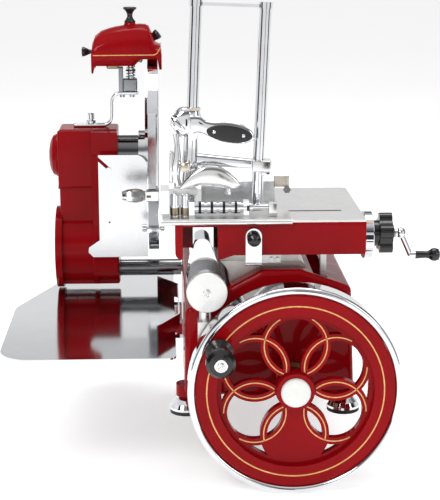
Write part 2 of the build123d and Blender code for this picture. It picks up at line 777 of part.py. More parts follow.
with BuildPart() as machine_screws:
    bar((-266, blade_y, casing_top_z + 6), (-266, blade_y, casing_top_z + 22), 4)
    turned((-266, blade_y, casing_top_z + 6), (0, 0, 1), [(0, 8), (4, 8), (5, 7)])
    turned((-266, blade_y, casing_top_z + 13), (0, 0, 1), [(0, 5.5), (8, 5.5), (9.5, 4)])
    for bolt_x in (-214, -198):
        turned((bolt_x, blade_y, 432), (0, 0, -1), [(0, 4.5), (4, 4.5), (4.5, 3.5)])
    for screw_x in (-312, -270, -230):
        turned((screw_x, casing_rear_y, 250), (0, 1, 0), [(0, 4.5), (2, 4), (2.6, 2)])
        turned((screw_x, casing_rear_y, 365), (0, 1, 0), [(0, 4.5), (2, 4), (2.6, 2)])
    knob_y, knob_z = around_blade(219, 155.5)
    turned((guard_right_x, knob_y, knob_z), (1, 0, 0), [(0, 2.6), (2, 2.6), (3, 4.6), (8, 4.8), (9, 4)])
    turned((guard_left_x, knob_y, knob_z), (-1, 0, 0), [(0, 2.6), (2, 2.6), (3, 6), (9, 6), (10, 5)])

# ---------------------------------------------------------------- carriage
with BuildPart() as carriage_beam:
    with BuildSketch(front(beam_rear_y)) as beam_section:
        with BuildLine():
            FilletPolyline(
                (beam_left_x, beam_bottom_z),
                (-66, beam_bottom_z),
                (-48, beam_underside_z),
                (beam_right_x, beam_underside_z),
                (beam_right_x, table_z),
                (beam_left_x, table_z),
                radius=(10, 4, 4, 4, 1, 1),
                close=True,
            )
        make_face()
    extrude(beam_section.sketch, amount=beam_rear_y - beam_front_y)
    block((-121, beam_front_y - 1, beam_bottom_z - 1), (-71, -116, table_z - 6), Mode.SUBTRACT)
    block((-60, beam_front_y + 6, beam_bottom_z - 1), (beam_right_x - 6, -116, table_z - 6), Mode.SUBTRACT)
    for rib_x in (-110, 100):
        block((rib_x, beam_rear_y - 1, table_z - 14), (rib_x + 14, table_rear_y - 12, table_z))
    block((-20, -128.5, table_z - 8), (4 + feed_travel + 4, -121.5, table_z + 1), Mode.SUBTRACT)
    bar((beam_right_x - 8, screw_y, screw_z), (beam_right_x + 2, screw_y, screw_z), 7.5, Mode.SUBTRACT)
    bar((-67, screw_y, screw_z), (-59, screw_y, screw_z), 6 + running_gap, Mode.SUBTRACT)

with BuildPart() as dial_collar:
    turned(
        (beam_right_x, screw_y, screw_z - 2),
        (1, 0, 0),
        [(0, 34), (1, 35), (collar_width - 1, 35), (collar_width, 34)],
    )
    bar(
        (beam_right_x - 1, screw_y, screw_z),
        (beam_right_x + collar_width + 1, screw_y, screw_z),
        6 + running_gap,
        Mode.SUBTRACT,
    )

with BuildPart() as table_plate:
    with BuildSketch(Plane.XY.offset(table_z)) as table_outline:
        with BuildLine():
            FilletPolyline(
                (-150, beam_front_y),
                (beam_right_x, beam_front_y),
                (beam_right_x, table_rear_y),
                (-150, table_rear_y),
                radius=(1, 1, 8, 8),
                close=True,
            )
        make_face()
    extrude(table_outline.sketch, amount=table_thickness)
    block((-20, -128.5, table_z - 1), (4 + feed_travel + 4, -121.5, table_z + 5), Mode.SUBTRACT)

with BuildPart() as guide_sleeve:
    arm(front(-118), [(rod_x, rod_z, 27.5), (rod_x - 5, 256, 12)], 62)
    block((-106, -150, 236), (-76, -120, table_z - 6))
    bar((rod_x, -190, rod_z), (rod_x, -80, rod_z), rod_radius + running_gap, Mode.SUBTRACT)

with BuildPart() as drive_tongue:
    block((78, -176, 168), (86.5, -158, 250))
    block((74, beam_front_y + 6, 246.5), (92, beam_rear_y - 6, 254))
    bar((77, -167, 178), (79, -167, 178), 4)
    block((-24, beam_front_y + 6, 232.5), (20, -160, 252))
    for stud_x in (6, 15):
        bar((stud_x, -190, 238), (stud_x, beam_front_y + 7, 238), 3.2)

lock_x = -20.0
with BuildPart() as lock_lever:
    arm(front(-191), [(lock_x, 274, 11.5), (lock_x, 246, 11.5)], 4)
    block((lock_x - 11.5, -195, 231.5), (lock_x + 11.5, -191, 247))
    bar((lock_x - 11.5, -193, 233.5), (lock_x + 11.5, -193, 233.5), 3)

with BuildPart() as lock_knob:
    turned(
        (lock_x, -195, 271),
        (0, -1, 0),
        [(0, 4.5), (3, 5), (5, 8.5), (10, 9.8), (15, 8.5), (18, 4.5), (18.8, 0.01)],
    )

# ---------------------------------------------------------------- slice feed
with BuildPart() as lead_screw:
    bar((-66, screw_y, screw_z), (190, screw_y, screw_z), 6)

with BuildPart() as feed_crank:
    crank_drop = 33.0
    bar((190, screw_y, screw_z), (198, screw_y, screw_z), 6)
    with Locations((198, screw_y, screw_z)):
        Sphere(8)
    bar((198, screw_y, screw_z), (213, screw_y, screw_z - crank_drop), 4)
    bar((211, screw_y, screw_z - crank_drop), (220, screw_y, screw_z - crank_drop), 5.5)
    bar((215, screw_y, screw_z - crank_drop), (250, screw_y, screw_z - crank_drop), 3)

with BuildPart() as feed_grip:
    turned(
        (220.4, screw_y, screw_z - crank_drop),
        (1, 0, 0),
        [(0, 6), (6, 5.6), (16, 5), (20, 6), (24, 9), (29, 9.8), (34, 8.4), (37, 3), (37.2, 0.01)],
    )
    bar(
        (220, screw_y, screw_z - crank_drop),
        (251, screw_y, screw_z - crank_drop),
        3 + running_gap,
        Mode.SUBTRACT,
    )

with BuildPart() as thickness_dial:
    dial_x = beam_right_x + collar_width + 0.3
    lobes_x = dial_x + 10
    lobes_end_x = dial_x + 29
    bar((dial_x, screw_y, screw_z), (lobes_x, screw_y, screw_z), 19)
    bar((lobes_x, screw_y, screw_z), (lobes_end_x, screw_y, screw_z), 23)
    for lobe in range(5):
        lobe_angle = radians(90 + 72 * lobe)
        lobe_y = screw_y + 21 * cos(lobe_angle)
        lobe_z = screw_z + 21 * sin(lobe_angle)
        bar((lobes_x, lobe_y, lobe_z), (lobes_end_x, lobe_y, lobe_z), 9.5)
    bar((dial_x - 1, screw_y, screw_z), (lobes_end_x + 1, screw_y, screw_z), 8.6, Mode.SUBTRACT)

# ---------------------------------------------------------------- feed slide and meat clamp
slide_thickness = 3.0
slide_top_z = slide_z + slide_thickness
with BuildPart() as feed_slide:
    block((-150, -194, slide_z), (34, -104, slide_top_z))
    bar((-152, -194.4, 294.6), (35, -194.4, 294.6), 3.6)
    block((-150, -197, slide_z), (34, -190.5, slide_z + 1.5))
    block((-107, -165, slide_top_z), (16, -160, slide_top_z + 5))
    block((-16, -127.5, 258), (4, -122.5, slide_z + 1))
    block((-16, -162, 256), (4, -122.5, 280))
    bar((-20, screw_y, screw_z), (8, screw_y, screw_z), 6 + running_gap, Mode.SUBTRACT)

clamp_middle_x = -62.0
clamp_y = -140.0
lean = radians(column_lean)
clamp_base = Plane(
    origin=(clamp_middle_x, clamp_y, slide_top_z),
    x_dir=(cos(lean), 0, -sin(lean)),
    z_dir=(sin(lean), 0, cos(lean)),
)


def clamp_point(x, y, z):
    """Point given in the clamp's leaning axes, as a tuple in the frame's axes."""
    placed = clamp_base.from_local_coords(Vector(x, y, z))
    return placed.X, placed.Y, placed.Z


def clamp_front(y):
    """Plane facing the operator at local depth y, leaning with the columns."""
    return Plane(
        origin=clamp_point(0, y, 0),
        x_dir=clamp_base.x_dir,
        z_dir=(0, -1, 0),
    )


def clamp_block(low, high):
    """Block in the clamp's leaning axes between two opposite corners."""
    outline = [(low[0], low[2]), (high[0], low[2]), (high[0], high[2]), (low[0], high[2])]
    plate(clamp_front(high[1]), outline, high[1] - low[1])


def clamp_bar(start, end, radius, mode=Mode.ADD):
    """Round bar between two points in the clamp's leaning axes."""
    bar(clamp_point(*start), clamp_point(*end), radius, mode)


with BuildPart() as clamp_columns:
    for column_side in (-1, 1):
        column_x = column_side * column_half_pitch
        clamp_bar((column_x, 0, 3), (column_x, 0, column_height), column_radius)
        foot = clamp_point(column_x, 0, 3)
        bar((foot[0], foot[1], slide_top_z), (foot[0], foot[1], slide_top_z + 12), 13)
        clamp_bar((column_x, 0, column_height - 4), (column_x, 0, column_height + 5), 10)
    clamp_block((-column_half_pitch, -4, column_height - 3), (column_half_pitch, 4, column_height + 1.5))

with BuildPart() as fence_plate:
    block((-55, -90, 300), (18, -88, 330))
    block((-40, -112, slide_top_z), (12, -88, slide_top_z + 2.5))
    plate(front(-88), [(14, 322), (38, 322), (38, 356), (14, 356)], 2.5, 5)
    bar((33, -96, 328), (33, -90.5, 328), 3.5)

with BuildPart() as gripper_bar:
    block((-152.5, -175, slide_top_z), (-140, -128, 337))
    for groove in range(4):
        groove_x = -151.2 + 3.1 * groove
        block((groove_x, -176, 302), (groove_x + 1.3, -174, 336), Mode.SUBTRACT)
    for barrel_x in (-132, -117):
        bar((barrel_x, -168, slide_top_z), (barrel_x, -168, 329), 6.2)
        bar((barrel_x, -168, 312), (barrel_x, -168, 316), 7.2)
    bar((-106, -172, 312), (-30, -172, 312), 7)
    for ring in range(9):
        ring_x = -103 + 8.6 * ring
        bar((ring_x, -172, 312), (ring_x + 4.5, -172, 312), 8.6)
    block((-112, -180, slide_top_z), (-104, -165.2, 322))
    block((-34, -180, slide_top_z), (-26, -165.2, 322))

clamp_bore = column_radius + running_gap
with BuildPart() as clamp_head:
    clamp_bar((-column_half_pitch, 0, 60), (-column_half_pitch, 0, 146), 13)
    clamp_bar((column_half_pitch, 0, 50), (column_half_pitch, 0, 76), 13)
    arm(clamp_front(9), [(-column_half_pitch, 84, 8), (56, 64, 8)], 18)
    clamp_block((35, -14, 52), (69, 14, 74))
    arm(clamp_front(8), [(-60, 130, 13), (-68, 112, 9), (-64, 96, 7)], 18)
    arm(clamp_front(-9), [(-52, 88, 8), (-60, 72, 8), (-66, 42, 6)], 8)
    clamp_bar((-62, -13, 33), (-62, -13, 44), 6)
    clamp_bar((-57, -13, 29), (-57, -13, 34), 15)
    clamp_bar((-55.5, -8, 72), (-55.5, -42, 72), 4)
    clamp_bar((-55.5, -38.4, 72), (-55.5, -45, 72), 7)
    for column_side in (-1, 1):
        column_x = column_side * column_half_pitch
        clamp_bar((column_x, 0, 20), (column_x, 0, 160), clamp_bore, Mode.SUBTRACT)

with BuildPart() as clamp_handle:
    with BuildSketch(clamp_front(-14)) as handle_outline:
        with BuildSketch(mode=Mode.PRIVATE) as handle_oval:
            with Locations(Location((6, 113.5), -5)):
                Ellipse(38, 15)
        add(handle_oval.sketch)
        with BuildSketch(mode=Mode.PRIVATE) as handle_neck:
            with Locations((-46, 122)):
                Circle(12)
            with Locations((-22, 117)):
                Circle(8)
            make_hull()
        add(handle_neck.sketch)
    extrude(handle_outline.sketch, amount=9)

with BuildPart() as clamp_scales:
    for scale_depth in (-11.7, -23.2):
        with BuildSketch(clamp_front(scale_depth)) as scale_outline:
            with Locations(Location((8, 113), -5)):
                Ellipse(33, 11.5)
        extrude(scale_outline.sketch, amount=2)

with BuildPart() as clamp_lever:
    with BuildSketch(clamp_front(-26)) as leaf:
        with BuildLine():
            Spline(
                (-67, 56),
                (-58, 79),
                (-31, 86),
                (-4, 87),
                (18, 79),
                (28.5, 69),
                (20, 61),
                (-4, 61),
                (-31, 62),
                (-52, 56),
                periodic=True,
            )
        make_face()
    extrude(leaf.sketch, amount=11)
    clamp_bar((-55.5, -20, 72), (-55.5, -40, 72), 4 + running_gap, Mode.SUBTRACT)

# ---------------------------------------------------------------- files
pieces = {
    "base_casting": base_casting,
    "feet": feet,
    "foot_pads": foot_pads,
    "top_cover": top_cover,
    "bearing_plates": bearing_plates,
    "shaft_bushes": shaft_bushes,
    "guide_rod": guide_rod,
    "guide_rod_mounts": guide_rod_mounts,
    "shaft_tubes": shaft_tubes,
    "blade_casing": blade_casing,
    "casing_hub_cover": casing_hub_cover,
    "blade_guard": blade_guard,
    "drive_chain": drive_chain,
    "deflector_plate": deflector_plate,
    "receiving_tray": receiving_tray,
    "tray_supports": tray_supports,
    "sharpener_arm": sharpener_arm,
    "machine_screws": machine_screws,
    "deflector_knob": deflector_knob,
    "flywheel": flywheel,
    "flywheel_rim": flywheel_rim,
    "flywheel_hub_cap": flywheel_hub_cap,
    "main_shaft": main_shaft,
    "main_gear": main_gear,
    "countershaft": countershaft,
    "grip_spindle": grip_spindle,
    "flywheel_grip": flywheel_grip,
    "idler_gear": idler_gear,
    "layshaft": layshaft,
    "cross_shaft": cross_shaft,
    "crank_shaft": crank_shaft,
    "connecting_rod": connecting_rod,
    "rocker_arm": rocker_arm,
    "blade": blade,
    "blade_shaft": blade_shaft,
    "carriage_beam": carriage_beam,
    "dial_collar": dial_collar,
    "table_plate": table_plate,
    "guide_sleeve": guide_sleeve,
    "drive_tongue": drive_tongue,
    "lock_lever": lock_lever,
    "lock_knob": lock_knob,
    "lead_screw": lead_screw,
    "feed_crank": feed_crank,
    "feed_grip": feed_grip,
    "thickness_dial": thickness_dial,
    "feed_slide": feed_slide,
    "clamp_columns": clamp_columns,
    "fence_plate": fence_plate,
    "gripper_bar": gripper_bar,
    "clamp_head": clamp_head,
    "clamp_handle": clamp_handle,
    "clamp_scales": clamp_scales,
    "clamp_lever": clamp_lever,
    "sharpener_hood": sharpener_hood,
    "sharpener_shaft": sharpener_shaft,
    "sharpener_spring": sharpener_spring,
    "hood_knobs": hood_knobs,
    "sharpening_stone": sharpening_stone,
    "stone_knob": stone_knob,
}

os.makedirs("parts", exist_ok=True)
for name, piece in pieces.items():
    piece.part.label = name
    export_step(piece.part, f"parts/{name}.step")
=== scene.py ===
import json
from math import copysign, cos, inf, pi, radians, sin, sqrt

import bmesh
import bpy
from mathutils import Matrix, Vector


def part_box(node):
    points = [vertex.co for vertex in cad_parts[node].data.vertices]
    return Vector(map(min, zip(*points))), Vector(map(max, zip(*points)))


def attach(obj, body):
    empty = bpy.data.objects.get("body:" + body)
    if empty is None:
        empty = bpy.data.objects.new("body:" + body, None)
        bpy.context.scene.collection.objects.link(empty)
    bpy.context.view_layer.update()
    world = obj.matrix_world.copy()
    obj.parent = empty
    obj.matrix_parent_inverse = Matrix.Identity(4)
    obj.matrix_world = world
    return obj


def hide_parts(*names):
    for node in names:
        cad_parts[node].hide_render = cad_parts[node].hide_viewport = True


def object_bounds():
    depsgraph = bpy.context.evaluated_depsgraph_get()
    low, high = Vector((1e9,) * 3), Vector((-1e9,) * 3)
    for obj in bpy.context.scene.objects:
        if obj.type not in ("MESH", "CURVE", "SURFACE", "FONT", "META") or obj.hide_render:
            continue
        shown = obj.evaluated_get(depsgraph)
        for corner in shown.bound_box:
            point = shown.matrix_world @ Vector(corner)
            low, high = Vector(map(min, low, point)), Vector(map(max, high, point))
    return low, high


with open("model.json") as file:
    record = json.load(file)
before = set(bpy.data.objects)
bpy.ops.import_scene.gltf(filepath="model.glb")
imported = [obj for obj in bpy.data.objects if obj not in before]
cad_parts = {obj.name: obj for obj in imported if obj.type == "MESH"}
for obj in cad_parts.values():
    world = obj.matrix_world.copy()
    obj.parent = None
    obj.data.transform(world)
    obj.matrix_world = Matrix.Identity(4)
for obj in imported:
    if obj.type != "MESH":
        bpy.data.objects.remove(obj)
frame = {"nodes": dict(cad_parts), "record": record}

cad_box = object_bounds()
nodes = frame["nodes"]
MM = 0.001


# ---------------------------------------------------------------- places from the frame
def middle(node):
    low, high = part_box(node)
    return (Vector(low) + Vector(high)) / 2


def low_corner(node):
    return Vector(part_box(node)[0])


def high_corner(node):
    return Vector(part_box(node)[1])


wheel_axis = middle("main_shaft")
wheel_face_y = low_corner("flywheel").y
blade_axis = middle("blade")
lean = radians(2.2)  # of the clamp's columns, to the right
clamp_origin = Vector((-0.062, -0.140, 0.2993))  # between the columns' feet, on the feed slide
clamp_across = Vector((cos(lean), 0, -sin(lean)))
clamp_up = Vector((sin(lean), 0, cos(lean)))


def clamp_point(x, y, z):
    """Point from millimetres along the leaning clamp columns' own axes."""
    return clamp_origin + (clamp_across * x + Vector((0, y, 0)) + clamp_up * z) * MM


# ---------------------------------------------------------------- materials
def fill_ramp(ramp, stops):
    """Sets a colour ramp from a list of (place, colour)."""
    while len(ramp.elements) < len(stops):
        ramp.elements.new(0.5)
    for element, (place, color) in zip(ramp.elements, stops):
        element.position = place
        element.color = (*color, 1)


class Shader:
    """A Principled material whose nodes work in the object's own coordinates, in metres."""

    def __init__(self, name, color, metallic=0.0, roughness=0.3, **sockets):
        self.material = bpy.data.materials.new(name)
        self.material.use_nodes = True
        self.tree = self.material.node_tree
        self.bsdf = self.tree.nodes["Principled BSDF"]
        self.bsdf.inputs["Base Color"].default_value = (*color, 1)
        self.bsdf.inputs["Metallic"].default_value = metallic
        self.bsdf.inputs["Roughness"].default_value = roughness
        for socket, value in sockets.items():
            self.bsdf.inputs[socket.replace("_", " ")].default_value = value
        self.coordinates = self.node("ShaderNodeTexCoord").outputs["Object"]
        self.height = None

    def node(self, kind, **settings):
        made = self.tree.nodes.new(kind)
        for key, value in settings.items():
            setattr(made, key, value)
        return made

    def link(self, source, target):
        self.tree.links.new(source, target)

    def stretched(self, stretch):
        """Coordinates scaled along each axis, for grain that runs one way."""
        mapping = self.node("ShaderNodeMapping")
        mapping.inputs["Scale"].default_value = stretch
        self.link(self.coordinates, mapping.inputs["Vector"])
        return mapping.outputs["Vector"]

    def noise(self, scale, detail=3.0, stretch=None, roughness=0.55):
        texture = self.node("ShaderNodeTexNoise")
        texture.inputs["Scale"].default_value = scale
        texture.inputs["Detail"].default_value = detail
        texture.inputs["Roughness"].default_value = roughness
        self.link(self.stretched(stretch) if stretch else self.coordinates, texture.inputs["Vector"])
        return texture.outputs["Fac"]

    def specks(self, scale, size):
        """Small round specks: 1 inside a speck, 0 outside."""
        texture = self.node("ShaderNodeTexVoronoi")
        texture.inputs["Scale"].default_value = scale
        self.link(self.coordinates, texture.inputs["Vector"])
        return self.spread(texture.outputs["Distance"], 0.0, size, 1.0, 0.0)

    def rings(self, axis, centre, spacing):
        """Fine concentric lines about a line along one axis, as turning leaves."""
        mapping = self.node("ShaderNodeMapping")
        mapping.inputs["Location"].default_value = [-value for value in centre]
        self.link(self.coordinates, mapping.inputs["Vector"])
        wave = self.node("ShaderNodeTexWave", wave_type="RINGS", rings_direction=axis)
        # the texture repeats every 2 pi / (20 Scale)
        wave.inputs["Scale"].default_value = 1 / (20 * spacing) * 2 * pi
        wave.inputs["Distortion"].default_value = 0.6
        wave.inputs["Detail"].default_value = 2
        wave.inputs["Detail Scale"].default_value = 3
        self.link(mapping.outputs["Vector"], wave.inputs["Vector"])
        return wave.outputs["Fac"]

    def spread(self, value, from_low, from_high, to_low, to_high):
        """The value mapped from one range to another."""
        mapped = self.node("ShaderNodeMapRange")
        limits = {"From Min": from_low, "From Max": from_high, "To Min": to_low, "To Max": to_high}
        for socket, limit in limits.items():
            mapped.inputs[socket].default_value = limit
        self.link(value, mapped.inputs["Value"])
        return mapped.outputs["Result"]

    def colours(self, value, stops):
        """Base colour from a value, by a ramp of (place, colour)."""
        ramp = self.node("ShaderNodeValToRGB")
        fill_ramp(ramp.color_ramp, stops)
        self.link(value, ramp.inputs["Fac"])
        self.link(ramp.outputs["Color"], self.bsdf.inputs["Base Color"])
        return self

    def rough(self, value, low, high, from_low=0.3, from_high=0.7):
        """Roughness from low to high as a value goes from from_low to from_high."""
        self.link(self.spread(value, from_low, from_high, low, high), self.bsdf.inputs["Roughness"])
        return self

    def bump(self, value, strength, distance):
        """Adds one layer of relief; later layers lie on the earlier ones."""
        relief = self.node("ShaderNodeBump")
        relief.inputs["Strength"].default_value = strength
        relief.inputs["Distance"].default_value = distance
        self.link(value, relief.inputs["Height"])
        if self.height:
            self.link(self.height, relief.inputs["Normal"])
        self.height = relief.outputs["Normal"]
        self.link(self.height, self.bsdf.inputs["Normal"])
        return self


def shade(color, factor):
    return tuple(channel * factor for channel in color)


def enamel():
    """Deep glossy red stove enamel: faint orange peel, slight mottling, a few dust specks."""
    red = (0.262, 0.0022, 0.0048)
    paint = Shader("red_enamel", red, roughness=0.30, Specular_IOR_Level=0.02, Coat_Weight=0.42,
                   Coat_Roughness=0.03, Coat_IOR=1.30)
    mottle = paint.noise(9, 4)
    paint.colours(mottle, [(0.3, shade(red, 0.86)), (0.55, red), (0.8, shade(red, 1.16))])
    paint.rough(paint.noise(38, 5), 0.22, 0.42)
    paint.bump(paint.noise(260, 2), 0.06, 0.0003)
    paint.bump(paint.specks(130, 0.06), 0.10, 0.00015)
    return paint.material


def chrome(name="chrome", color=(0.78, 0.79, 0.81), smooth=0.03, dull=0.11):
    """Bright plating with faint smears, hairline scratches and a little waviness."""
    plate = Shader(name, color, metallic=1.0, roughness=smooth)
    smears = plate.noise(26, 5)
    plate.colours(smears, [(0.25, shade(color, 0.90)), (0.6, color), (0.85, shade(color, 1.05))])
    plate.rough(smears, smooth, dull)
    plate.bump(plate.noise(18, 2), 0.05, 0.0006)
    plate.bump(plate.noise(90, 4, (1, 0.12, 26)), 0.035, 0.0001)
    return plate.material


def brushed(name, color, grain, smooth, dull, relief=0.03):
    """Sheet steel brushed one way: grain is the stretch across each axis."""
    sheet = Shader(name, color, metallic=1.0, roughness=smooth)
    lines = sheet.noise(40, 5, grain, 0.7)
    blotches = sheet.noise(7, 4)
    sheet.colours(blotches, [(0.25, shade(color, 0.90)), (0.55, color), (0.85, shade(color, 1.06))])
    sheet.rough(lines, smooth, dull, 0.25, 0.75)
    sheet.bump(lines, relief, 0.00012)
    sheet.bump(sheet.noise(5, 2), relief, 0.0012)
    return sheet.material


def turned_steel(name, color, axis, centre, spacing, smooth, dull):
    """Steel left from the lathe, with fine rings."""
    steel = Shader(name, color, metallic=1.0, roughness=smooth)
    stains = steel.noise(30, 5)
    steel.colours(stains, [(0.25, shade(color, 0.88)), (0.55, color), (0.85, shade(color, 1.05))])
    steel.rough(stains, smooth, dull)
    steel.bump(steel.rings(axis, centre, spacing), 0.09, 0.00015)
    return steel.material


def machined():
    """Grey working steel, oiled in patches."""
    color = (0.40, 0.40, 0.41)
    steel = Shader("machined_steel", color, metallic=1.0, roughness=0.3)
    oil = steel.noise(24, 6)
    steel.colours(oil, [(0.3, (0.16, 0.145, 0.13)), (0.5, shade(color, 0.85)), (0.75, color)])
    steel.rough(oil, 0.2, 0.42)
    steel.bump(steel.noise(320, 3), 0.10, 0.0002)
    return steel.material


def black_gloss(name="black_plastic", smooth=0.10, dull=0.26):
    """Hard black moulding with light handling marks."""
    black = (0.010, 0.010, 0.011)
    moulding = Shader(name, black, roughness=smooth, IOR=1.52)
    marks = moulding.noise(60, 6)
    moulding.colours(marks, [(0.3, shade(black, 0.7)), (0.6, black), (0.85, (0.024, 0.024, 0.026))])
    moulding.rough(marks, smooth, dull)
    moulding.bump(moulding.noise(420, 2), 0.05, 0.0002)
    return moulding.material


def ivory():
    color = (0.80, 0.81, 0.78)
    cap = Shader("ivory_cap", color, roughness=0.35, Coat_Weight=0.3, Coat_Roughness=0.1)
    cap.colours(cap.noise(40, 4), [(0.3, shade(color, 0.93)), (0.6, color), (0.85, shade(color, 1.04))])
    cap.rough(cap.noise(70, 4), 0.26, 0.42)
    cap.bump(cap.rings("Y", wheel_axis, 0.0006), 0.06, 0.0001)
    return cap.material


def bronze():
    color = (0.48, 0.30, 0.12)
    bush = Shader("bronze", color, metallic=1.0, roughness=0.35)
    tarnish = bush.noise(55, 5)
    bush.colours(tarnish, [(0.3, (0.20, 0.11, 0.05)), (0.55, color), (0.85, (0.66, 0.45, 0.20))])
    bush.rough(tarnish, 0.5, 0.26)
    bush.bump(bush.noise(300, 2), 0.08, 0.0002)
    return bush.material


def rubber():
    pad = Shader("rubber", (0.02, 0.02, 0.02), roughness=0.75)
    dust = pad.noise(80, 6)
    pad.colours(dust, [(0.3, (0.010, 0.010, 0.010)), (0.6, (0.022, 0.021, 0.020)),
                       (0.85, (0.06, 0.056, 0.05))])
    pad.rough(dust, 0.62, 0.9)
    pad.bump(pad.noise(600, 3), 0.3, 0.0003)
    return pad.material


def abrasive():
    grit = Shader("abrasive", (0.33, 0.31, 0.28), roughness=0.9)
    grains = grit.noise(900, 3)
    grit.colours(grains, [(0.35, (0.13, 0.12, 0.11)), (0.5, (0.33, 0.31, 0.28)), (0.7, (0.55, 0.52, 0.47))])
    grit.bump(grains, 0.6, 0.0004)
    return grit.material


def gold_line():
    """Hand-laid pale gold pinstripe paint, a little uneven."""
    color = (0.72, 0.36, 0.085)
    line = Shader("gold_line", color, roughness=0.35, Coat_Weight=1.0, Coat_Roughness=0.05)
    streaks = line.noise(160, 4)
    line.colours(streaks, [(0.3, (0.55, 0.25, 0.05)), (0.55, color), (0.8, (0.88, 0.53, 0.19))])
    line.rough(streaks, 0.28, 0.48)
    line.bump(streaks, 0.10, 0.0001)
    return line.material


def floor_paint():
    floor = Shader("studio_floor", (0.93, 0.93, 0.93), roughness=0.9, Specular_IOR_Level=0.1,
                   Emission_Color=(1, 1, 1, 1), Emission_Strength=0.40)
    floor.colours(floor.noise(3, 2), [(0.3, (0.92, 0.92, 0.92)), (0.7, (0.94, 0.94, 0.94))])
    return floor.material


looks = {
    "red_enamel": enamel(),
    "chrome": chrome(),
    "blade_steel": turned_steel("blade_steel", (0.62, 0.63, 0.65), "X", blade_axis, 0.0009, 0.10, 0.24),
    "satin_steel": brushed("satin_steel", (0.68, 0.68, 0.67), (1.2, 30, 30), 0.20, 0.40),
    "machined_steel": machined(),
    "black_plastic": black_gloss(),
    "ivory_cap": ivory(),
    "bronze": bronze(),
    "rubber": rubber(),
    "abrasive": abrasive(),
}
tray_mirror = brushed("tray_mirror", (0.70, 0.71, 0.72), (1.0, 22, 22), 0.05, 0.15)
deflector_steel = brushed("deflector_steel", (0.82, 0.83, 0.84), (14, 14, 0.8), 0.19, 0.27)
table_steel = brushed("table_steel", (0.86, 0.86, 0.845), (1.0, 24, 24), 0.22, 0.38)
cover_steel = brushed("cover_steel", (0.62, 0.60, 0.56), (20, 1.0, 20), 0.26, 0.42)
dark_tube = turned_steel("dark_tube", (0.20, 0.20, 0.205), "X", middle("shaft_tubes"), 0.002, 0.08, 0.18)
cap_steel = turned_steel("cap_steel", (0.80, 0.80, 0.78), "Y", middle("guide_rod"), 0.0007, 0.22, 0.38)
handle_scale = black_gloss("handle_scale", 0.30, 0.48)
aged_brass = turned_steel("aged_brass", (0.30, 0.25, 0.17), "Z", middle("gripper_bar"), 0.0008, 0.16, 0.32)
nickel = turned_steel("nickel", (0.66, 0.60, 0.52), "Y", middle("clamp_lever"), 0.0008, 0.24, 0.40)
grey_steel = brushed("grey_steel", (0.30, 0.31, 0.32), (3, 3, 22), 0.22, 0.40)
soft_chrome = chrome("soft_chrome", (0.74, 0.74, 0.73), 0.10, 0.24)
gold = gold_line()

special = {
    "receiving_tray": tray_mirror,
    "tray_supports": tray_mirror,
    "deflector_plate": deflector_steel,
    "top_cover": cover_steel,
    "table_plate": table_steel,
    "feed_slide": table_steel,
    "shaft_tubes": dark_tube,
    "fence_plate": deflector_steel,
    "guide_rod_mounts": cap_steel,
    "clamp_scales": handle_scale,
}
slot_of = {part["node"]: part["material_slot"] for part in frame["record"]["subparts"]}
for name, obj in nodes.items():
    obj.data.materials.clear()
    obj.data.materials.append(special.get(name, looks[slot_of[name]]))


# ---------------------------------------------------------------- mesh helpers
def add_piece(name, vertices, faces, material, body, smooth_angle=35, replaces=()):
    """Makes a mesh object, shades it smooth up to an angle and rides it on its body."""
    mesh = bpy.data.meshes.new(name)
    mesh.from_pydata([tuple(vertex) for vertex in vertices], [], faces)
    mesh.materials.append(material)
    cleaned = bmesh.new()
    cleaned.from_mesh(mesh)
    bmesh.ops.remove_doubles(cleaned, verts=cleaned.verts, dist=1e-6)
    bmesh.ops.recalc_face_normals(cleaned, faces=cleaned.faces)
    for face in cleaned.faces:
        face.smooth = True
    for edge in cleaned.edges:
        if len(edge.link_faces) == 2 and edge.calc_face_angle(0) > radians(smooth_angle):
            edge.smooth = False
    cleaned.to_mesh(mesh)
    cleaned.free()
    obj = bpy.data.objects.new(name, mesh)
    bpy.context.scene.collection.objects.link(obj)
    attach(obj, body)
    if replaces:
        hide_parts(*replaces)
    return obj


def round_edges(obj, width, angle):
    """Rounds the edges sharper than an angle in degrees; the width is in millimetres."""
    rounded = obj.modifiers.new("rounded", "BEVEL")
    rounded.width = width * MM
    rounded.segments = 4
    rounded.limit_method = "ANGLE"
    rounded.angle_limit = radians(angle)


def around(count):
    """Equally spaced angles round a full turn."""
    return [2 * pi * step / count for step in range(count)]


def axes_along(direction):
    """Two unit vectors square to a direction and to each other."""
    direction = Vector(direction).normalized()
    helper = Vector((0, 0, 1)) if abs(direction.z) < 0.8 else Vector((0, 1, 0))
    first = direction.cross(helper).normalized()
    return first, direction.cross(first).normalized()


def rings_to_mesh(rings, capped=True):
    """Faces between equal closed rings of points, with flat ends."""
    count = len(rings[0])
    vertices = [point for ring in rings for point in ring]
    faces = []
    for index in range(len(rings) - 1):
        start, end = index * count, (index + 1) * count
        for step in range(count):
            after = (step + 1) % count
            faces.append((start + step, start + after, end + after, end + step))
    if capped:
        faces.append(tuple(range(count)))
        faces.append(tuple(range(len(vertices) - count, len(vertices))))
    return vertices, faces


def lathe(name, start, direction, profile, material, body, segments=40, turn=None, replaces=()):
    """Turned piece: the profile lists (distance, radius) in millimetres from the start.

    turn, where given, scales the radius by angle.
    """
    start, direction = Vector(start), Vector(direction).normalized()
    first, second = axes_along(direction)
    rings = []
    for distance, radius in profile:
        ring = []
        for angle in around(segments):
            reach = radius * (turn(angle) if turn else 1.0)
            offset = first * (reach * cos(angle)) + second * (reach * sin(angle))
            ring.append(start + direction * (distance * MM) + offset * MM)
        rings.append(ring)
    vertices, faces = rings_to_mesh(rings)
    return add_piece(name, vertices, faces, material, body, replaces=replaces)


